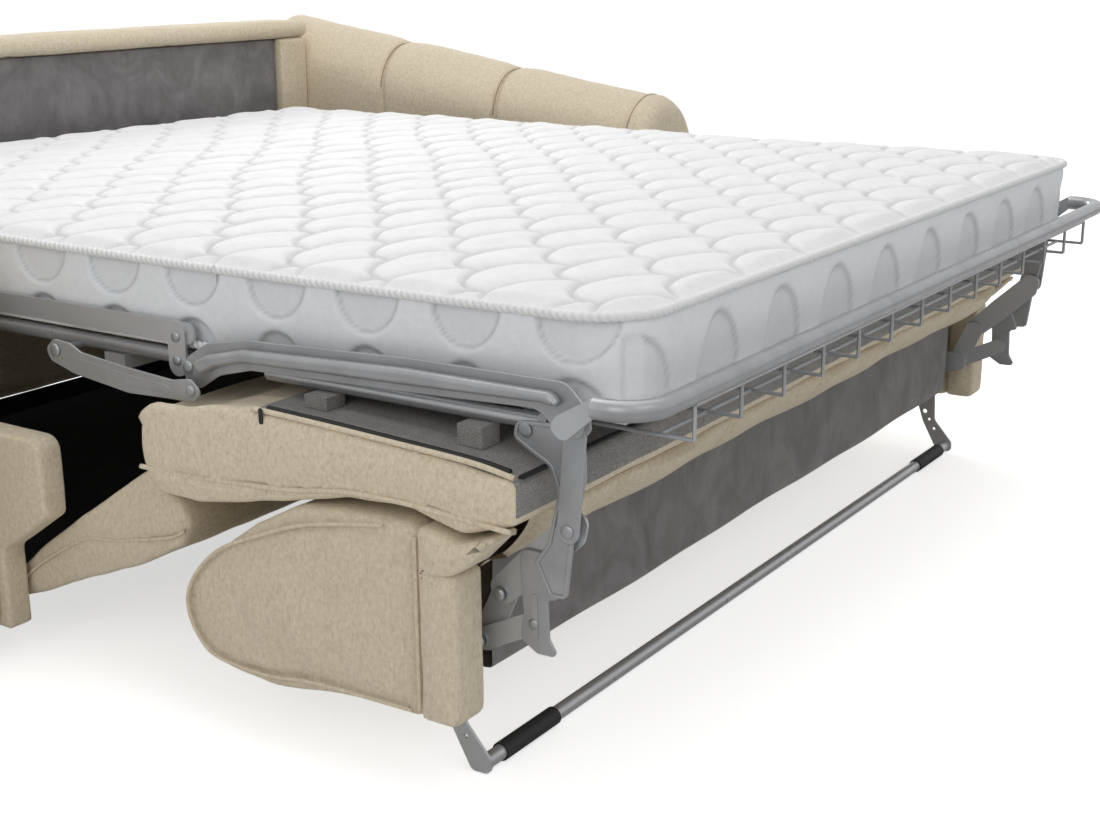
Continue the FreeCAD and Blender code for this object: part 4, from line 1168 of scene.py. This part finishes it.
def armSkin(side):
    rows = [(y, drawn, armTopAt(y) - lower) for y, drawn, lower in sofa["lip"]]
    fine = [seam + part * 0.0025 for seam in sofa["seams"] for part in range(-3, 10)]
    fine += [sofa["welt"] + part * 0.0025 for part in range(-3, 4)]
    ys = sorted(np.arange(0.812, 1.9, 0.011).tolist() + fine) + [1.9]
    rows += [(y, 0.0, armTopAt(y)) for y in ys]
    points = np.array([point for y, drawn, top in rows for point in armRing(y, drawn, top)])
    around = len(armRing(1, 0, 0.7))
    x, y, z = points.T
    centre = (sofa["inner"] + sofa["outer"]) / 2
    out = np.stack([x - centre, np.zeros(len(x)), np.maximum(z - 0.55, 0)], 1)
    out /= np.linalg.norm(out, axis=1)[:, None] + 1e-9
    swell = 0.0022 * softNoise(points, 7, 12) + 0.001 * softNoise(points, 30, 13)
    for seam in sofa["seams"]:
        away = np.abs(y - (seam + bow(x)))
        swell -= 0.0085 * np.exp(-(away / 0.0075) ** 2) + 0.004 * np.exp(-(away / 0.035) ** 2)
    swell -= 0.004 * np.exp(-(np.abs(y - sofa["welt"]) / 0.005) ** 2)
    swell = np.where(x < sofa["inner"] + 0.002, np.minimum(swell, 0.0), swell)
    points += out * swell[:, None]
    faces = gridFaces(len(rows), around).tolist()
    faces += [((row + 1) * around - 1, row * around, (row + 1) * around, (row + 2) * around - 1)
              for row in range(len(rows) - 1)]
    faces.append(tuple(range(around)))
    faces.append(tuple(range((len(rows) - 1) * around, len(rows) * around)))
    points[:, 0] *= side
    return points, faces


def flatEnd(points, reach, side):
    return 0.0008 * (1 - np.exp(-reach / 0.01))


def cheekEnd(points, reach, side):
    return 0.0004 * (1 - np.exp(-reach / 0.01))


def rollSkin(points):
    x, y, z = points.T
    seam = np.exp(-((z - 0.7785) / 0.003) ** 2) * (y < 1.79)
    pinches = sum(np.exp(-((x - spot) / 0.006) ** 2) for spot in (-0.45, 0.0, 0.45))
    return 0.0018 * softNoise(points, 9, 14) - 0.003 * seam - 0.003 * pinches


def greyPanelSkin(points):
    x, y, z = points.T
    return np.where(y < 1.7985, 0.0015 * softNoise(points, 8, 15) - 0.0005, 0)


def blockOutline(y0, y1, z0, z1, radius):
    return roundedOutline([(y0, z0, radius), (y1, z0, radius), (y1, z1, radius), (y0, z1, radius)])


def buildSofa():
    for name, side in sides:
        upholster(f"arm_cover_{name}", [armSkin(side)], ["beige"], "base", "beige_weave", [f"arm_{name}"])
        threads = []
        for seam in sofa["seams"]:
            over = armRing(seam, 0.0065, armTopAt(seam) - 0.0068)
            line = [(side * x, y + bow(x), z) for x, y, z in over if x > sofa["inner"] + 0.001]
            threads.append(piping(line, 0.0015, 0.01))
        settle(closeSkin(f"arm_threads_{name}", threads, ["thread"]), "base", "beige_weave")
        rim = armRing(sofa["welt"], -0.0008, armTopAt(sofa["welt"]) + 0.0006)
        welt = piping([(side * x, y, z) for x, y, z in rim], 0.0034, 0.008)
        settle(closeSkin(f"arm_welt_{name}", [welt], ["beige"]), "base", "beige_weave")
    roll = softBody(blockOutline(1770, 1900, 775, 817, 19), 0.8995, 0.003, rollSkin, flatEnd)
    upholster("back_roll_cover", [roll], ["beige"], "base", "beige_weave", ["back_roll"])
    posts = [softBody(blockOutline(1774, 1799.5, 540, 774.5, 8), 0.046, 0.006, plainSkin, flatEnd,
                      centre=side * 0.8535) for side in (-1, 1)]
    upholster("back_post_covers", posts, ["beige"], "base", "beige_weave", ["back_posts"])
    panel = softBody(blockOutline(1796.9, 1799.8, 300, 774.6, 1.2), 0.8065, 0.0012, greyPanelSkin, flatEnd,
                     step=0.009, across=0.018)
    upholster("back_panel_cloth", [panel], ["suede"], "base", "grey_suede", ["back_panel"])
    shell = softBody(blockOutline(1800.2, 1899, 51, 774.6, 14), 0.8995, 0.003, plainSkin, flatEnd,
                     step=0.014, across=0.028)
    upholster("back_shell_cover", [shell], ["beige"], "base", "beige_weave", ["back_shell"])
    cheekOutline = roundedOutline([(660, 350, 22), (660, 238, 12), (760, 172, 16), (760, 50, 6),
                                   (815, 50, 6), (815, 350, 12)])
    for name, side in sides:
        cheek = softBody(cheekOutline, 0.0208, 0.007, plainSkin, cheekEnd, step=0.006, centre=side * 0.879)
        upholster(f"cheek_cover_{name}", [cheek], ["beige"], "base", "beige_weave", [f"front_cheek_{name}"])


buildSofa()
print("sofa body covered")

# Linkage: pressed links, bosses and rivets

pivots = {
    "front": (-87, 466), "dropTop": (-158, 486), "leverTop": (-147, 358),
    "shortTop": (-43.5, 256), "shortFoot": (-12.5, 189), "hookFoot": (-92, 229),
    "foldRear": (435.37, 470), "lowerRear": (668, 467), "lowerFront": (412, 446),
}
# How far each pressing's two faces are from the sofa's middle
layers = {
    "fold": (0.8225, 0.8265), "foldRib": (0.8255, 0.8415), "lower": (0.844, 0.8472),
    "lowerDent": (0.8465, 0.8480), "curved": (0.8103, 0.8144), "curvedRim": (0.8138, 0.8163),
    "hook": (0.806, 0.810), "hookRib": (0.8096, 0.8112), "drop": (0.818, 0.822),
}
links = {
    "fold": [(-183, 476, 12), (-178, 505, 30), (-150, 533, 26), (70, 531, 40), (330, 519, 60),
             (400, 506, 40), (446, 478, 26), (442, 446, 16), (416, 444, 14), (380, 466, 40),
             (325, 480, 40), (90, 488, 60), (-112, 497, 30), (-140, 470, 14)],
    "foldRib": [(-150, 505, 12), (-138, 522, 20), (70, 521, 40), (328, 509, 60), (392, 494, 30),
                (420, 480, 10), (404, 466, 10), (376, 480, 30), (327, 492, 40), (90, 500, 60),
                (-122, 508, 20)],
    "lower": [(690, 466, 14), (672, 482, 14), (640, 480, 20), (618, 470, 20), (540, 462, 30),
              (445, 456, 20), (412, 462, 12), (392, 446, 14), (408, 430, 12), (440, 430, 20),
              (530, 426, 30), (636, 438, 20), (680, 450, 14)],
    "lowerDent": [(630, 462, 9), (545, 453, 12), (452, 448, 6), (450, 438, 6), (545, 436, 12), (628, 448, 9)],
    "curved": [(-70, 455, 10), (-74, 476, 12), (-128, 479, 24), (-166, 465, 26), (-167, 420, 30),
               (-150, 345, 30), (-141, 272, 8), (-118, 270, 8), (-98, 310, 6), (-116, 336, 10),
               (-131, 400, 16), (-120, 428, 12), (-96, 440, 12)],
    "hook": [(-104, 320, 12), (-72, 320, 12), (-77, 240, 14), (-72, 206, 12), (-96, 192, 6),
             (-126, 193, 6), (-113, 214, 8), (-111, 262, 6), (-126, 266, 5), (-112, 300, 8)],
}
dome = [(0.0075, 0.0), (0.0075, 0.0012), (0.0068, 0.0024), (0.0050, 0.0032), (0.0022, 0.0036)]


def rivetHead(pivot, x, side, size=1.0):
    return turned([(radius * size, out) for radius, out in dome], pivot, x, side)


def boss(pivot, x, side, radius=0.016, height=0.003):
    return turned([(radius, 0), (radius - 0.0006, height * 0.6), (radius - 0.003, height), (0.004, height)],
                  pivot, x, side, 40)


def pressing(layer, outline, side, edge=0.0012, edgeSteps=3, holes=()):
    return cutPlate(outline, *layers[layer], side, holes, edge, edgeSteps)


def bore(pivot):
    return [circleOutline(pivots[pivot], 5.05)]


def outerFace(layer):
    return layers[layer][1]


def buildLinks():
    outlines = {name: roundedOutline(corners) for name, corners in links.items()}
    dropLine = capsuleOutline(pivots["dropTop"], pivots["leverTop"], 30)
    hookLine = capsuleOutline((-93, 262), (-94, 214), 9)
    rim = [inset(outlines["curved"], 0.0048)]
    for name, side in sides:
        pieces = (
            ("fold_channel", "fold_links", "fold_link",
             [pressing("fold", outlines["fold"], side, 0.0014, holes=bore("foldRear")),
              pressing("foldRib", outlines["foldRib"], side, 0.0068, 6),
              boss(pivots["dropTop"], outerFace("fold"), side),
              rivetHead(pivots["dropTop"], outerFace("fold") + 0.003, side, 1.15)]),
            ("lower_bar", "lower_links", "lower_link",
             [pressing("lower", outlines["lower"], side, holes=bore("lowerRear")),
              pressing("lowerDent", outlines["lowerDent"], side, 0.0013, 4),
              rivetHead(pivots["lowerFront"], outerFace("lower"), side)]),
            ("curved_pressing", "curved_arms", "curved_arm",
             [pressing("curved", outlines["curved"], side, holes=bore("front")),
              pressing("curvedRim", outlines["curved"], side, 0.0011, holes=rim)]),
            ("hook_pressing", "back_unit", "hook_link",
             [pressing("hook", outlines["hook"], side), pressing("hookRib", hookLine, side, 0.0014)]),
            ("drop_bar", "drop_links", "drop_link",
             [pressing("drop", dropLine, side),
              rivetHead(pivots["leverTop"], outerFace("drop"), side, 1.1)]))
        for piece, body, node, meshes in pieces:
            settle(gather(f"{piece}_{name}", meshes, "steel", 40), body, "grey_paint", f"{node}_{name}")
        studs = (("foot_section", boss(pivots["front"], outerFace("curvedRim"), side, 0.0088, 0.0014)),
                 ("middle_section", rivetHead(pivots["foldRear"], outerFace("fold"), side, 1.2)),
                 ("middle_section", rivetHead(pivots["lowerRear"], outerFace("lowerDent"), side, 1.2)))
        for body, mesh in studs:
            settle(gather(f"stud_head_{body}_{name}", [mesh], "rivet", 40), body, "rivet_steel")
    strapHeads = [rivetHead((y, z), 0.816, side, 0.95) for side in (-1, 1)
                  for y in (466, 1260) for z in (472, 504)]
    settle(gather("strap_rivets", strapHeads, "rivet", 40), "middle_section", "rivet_steel")
    screws = [rivetHead(pivots[pivot], x, side, size) for side in (-1, 1)
              for pivot, x, size in (("shortTop", 0.8115, 1.1), ("shortFoot", 0.8115, 1.1),
                                     ("hookFoot", outerFace("hook"), 0.9))]
    settle(gather("rivet_domes", screws, "rivet", 40), "back_unit", "rivet_steel")


buildLinks()
keptFinishes = {
    "steel": ("upper_rail_left", "upper_rail_right", "rail_brackets", "middle_crossbar", "rail_tabs",
              "leg_plate_left", "leg_plate_right", "short_link_left", "short_link_right", "lever_left",
              "lever_right", "tie_links", "swing_arm_left", "swing_arm_right", "swing_bracket_left",
              "swing_bracket_right", "head_bracket_left", "head_bracket_right"),
    "steelDark": ("foot_frame", "middle_frame", "head_frame", "foot_rail", "wire_basket", "floor_bar"),
    "rivet": ("linkage_rivets",),
    "rubber": ("bar_sleeve_left", "bar_sleeve_right"),
    "net": ("foot_mesh", "middle_mesh", "head_mesh"),
    "lining": ("base_tray",),
    "melange": ("seat_straps",),
    "plastic": ("feet",),
}
for finish, names in keptFinishes.items():
    for name in names:
        node = bpy.data.objects[name]
        node.data.materials.clear()
        node.data.materials.append(finishes[finish])
        if finish == "steel":
            eased = node.modifiers.new("eased_edges", "BEVEL")
            eased.width = 0.0007
            eased.segments = 2
            eased.limit_method = "ANGLE"
            eased.angle_limit = math.radians(45)
print("linkage pressed and painted")


# Room, light and camera

camera = {"place": (-2.24523704, -1.89974767, 0.98770292), "turn": -0.977684048,
          "rise": 0.279777281, "roll": -0.00800367644, "lens": 52.886}


def studio():
    world = bpy.data.worlds.new("studio")
    bpy.context.scene.world = world
    world.use_nodes = True
    tree = world.node_tree
    background = tree.nodes["Background"]
    path = tree.nodes.new("ShaderNodeLightPath")
    shown = tree.nodes.new("ShaderNodeMath")
    shown.operation = "MAXIMUM"
    tree.links.new(path.outputs["Is Camera Ray"], shown.inputs[0])
    tree.links.new(path.outputs["Is Glossy Ray"], shown.inputs[1])
    strength = tree.nodes.new("ShaderNodeMapRange")
    strength.inputs["To Min"].default_value = 0.47
    strength.inputs["To Max"].default_value = 1.0
    tree.links.new(shown.outputs[0], strength.inputs["Value"])
    tree.links.new(strength.outputs["Result"], background.inputs["Strength"])
    background.inputs["Color"].default_value = (1, 1, 1, 1)
    corners = [(x, y, -0.0005) for x, y in ((-30, -30), (30, -30), (30, 30), (-30, 30))]
    floor = addPiece("studio_floor", corners, [(0, 1, 2, 3)], "beige")
    paint = Recipe("studio_floor")
    floor.data.materials[0] = paint.finish((0.85, 0.85, 0.85), 0.9, gloss=0.1)
    paint.shader.inputs["Emission Color"].default_value = (1, 1, 1, 1)
    seen = paint.node("ShaderNodeLightPath").outputs["Is Camera Ray"]
    paint.link(paint.maths("MULTIPLY", seen, 0.62), paint.shader.inputs["Emission Strength"])
    for name, place, turn, size, power in (
            ("key_light", (0.3, 0.0, 4.0), (0, 0, 0), 3.6, 42),
            ("rake_light", (3.4, 3.3, 2.1), (-62, 0, -46), 1.3, 62),
            ("side_light", (-4.2, -1.4, 2.4), (60, 0, -72), 2.2, 22),
            ("front_light", (-1.5, -3.8, 3.6), (48, 0, -20), 2.5, 20),
            ("rear_light", (0.2, 0.6, 3.0), (24, 0, -14), 1.8, 12)):
        data = bpy.data.lights.new(name, "AREA")
        data.energy = power
        data.size = size
        lamp = bpy.data.objects.new(name, data)
        lamp.location = place
        lamp.rotation_euler = [math.radians(angle) for angle in turn]
        bpy.context.scene.collection.objects.link(lamp)
    bpy.context.scene.view_settings.view_transform = "Standard"


def photographersCamera():
    data = bpy.data.cameras.new("camera")
    data.lens = camera["lens"]
    data.sensor_width = 36
    data.clip_end = 100
    stand = bpy.data.objects.new("camera", data)
    bpy.context.scene.collection.objects.link(stand)
    turn, rise = camera["turn"], camera["rise"]
    back = Vector((math.sin(turn) * math.cos(rise), -math.cos(turn) * math.cos(rise), math.sin(rise)))
    right = (-back).cross(Vector((0, 0, 1))).normalized()
    up = right.cross(-back)
    rolled = math.cos(camera["roll"]) * right + math.sin(camera["roll"]) * up
    lifted = -math.sin(camera["roll"]) * right + math.cos(camera["roll"]) * up
    basis = Matrix((rolled, lifted, back)).transposed().to_4x4()
    basis.translation = camera["place"]
    stand.matrix_world = basis
    bpy.context.scene.camera = stand


studio()
photographersCamera()
print("studio lit")
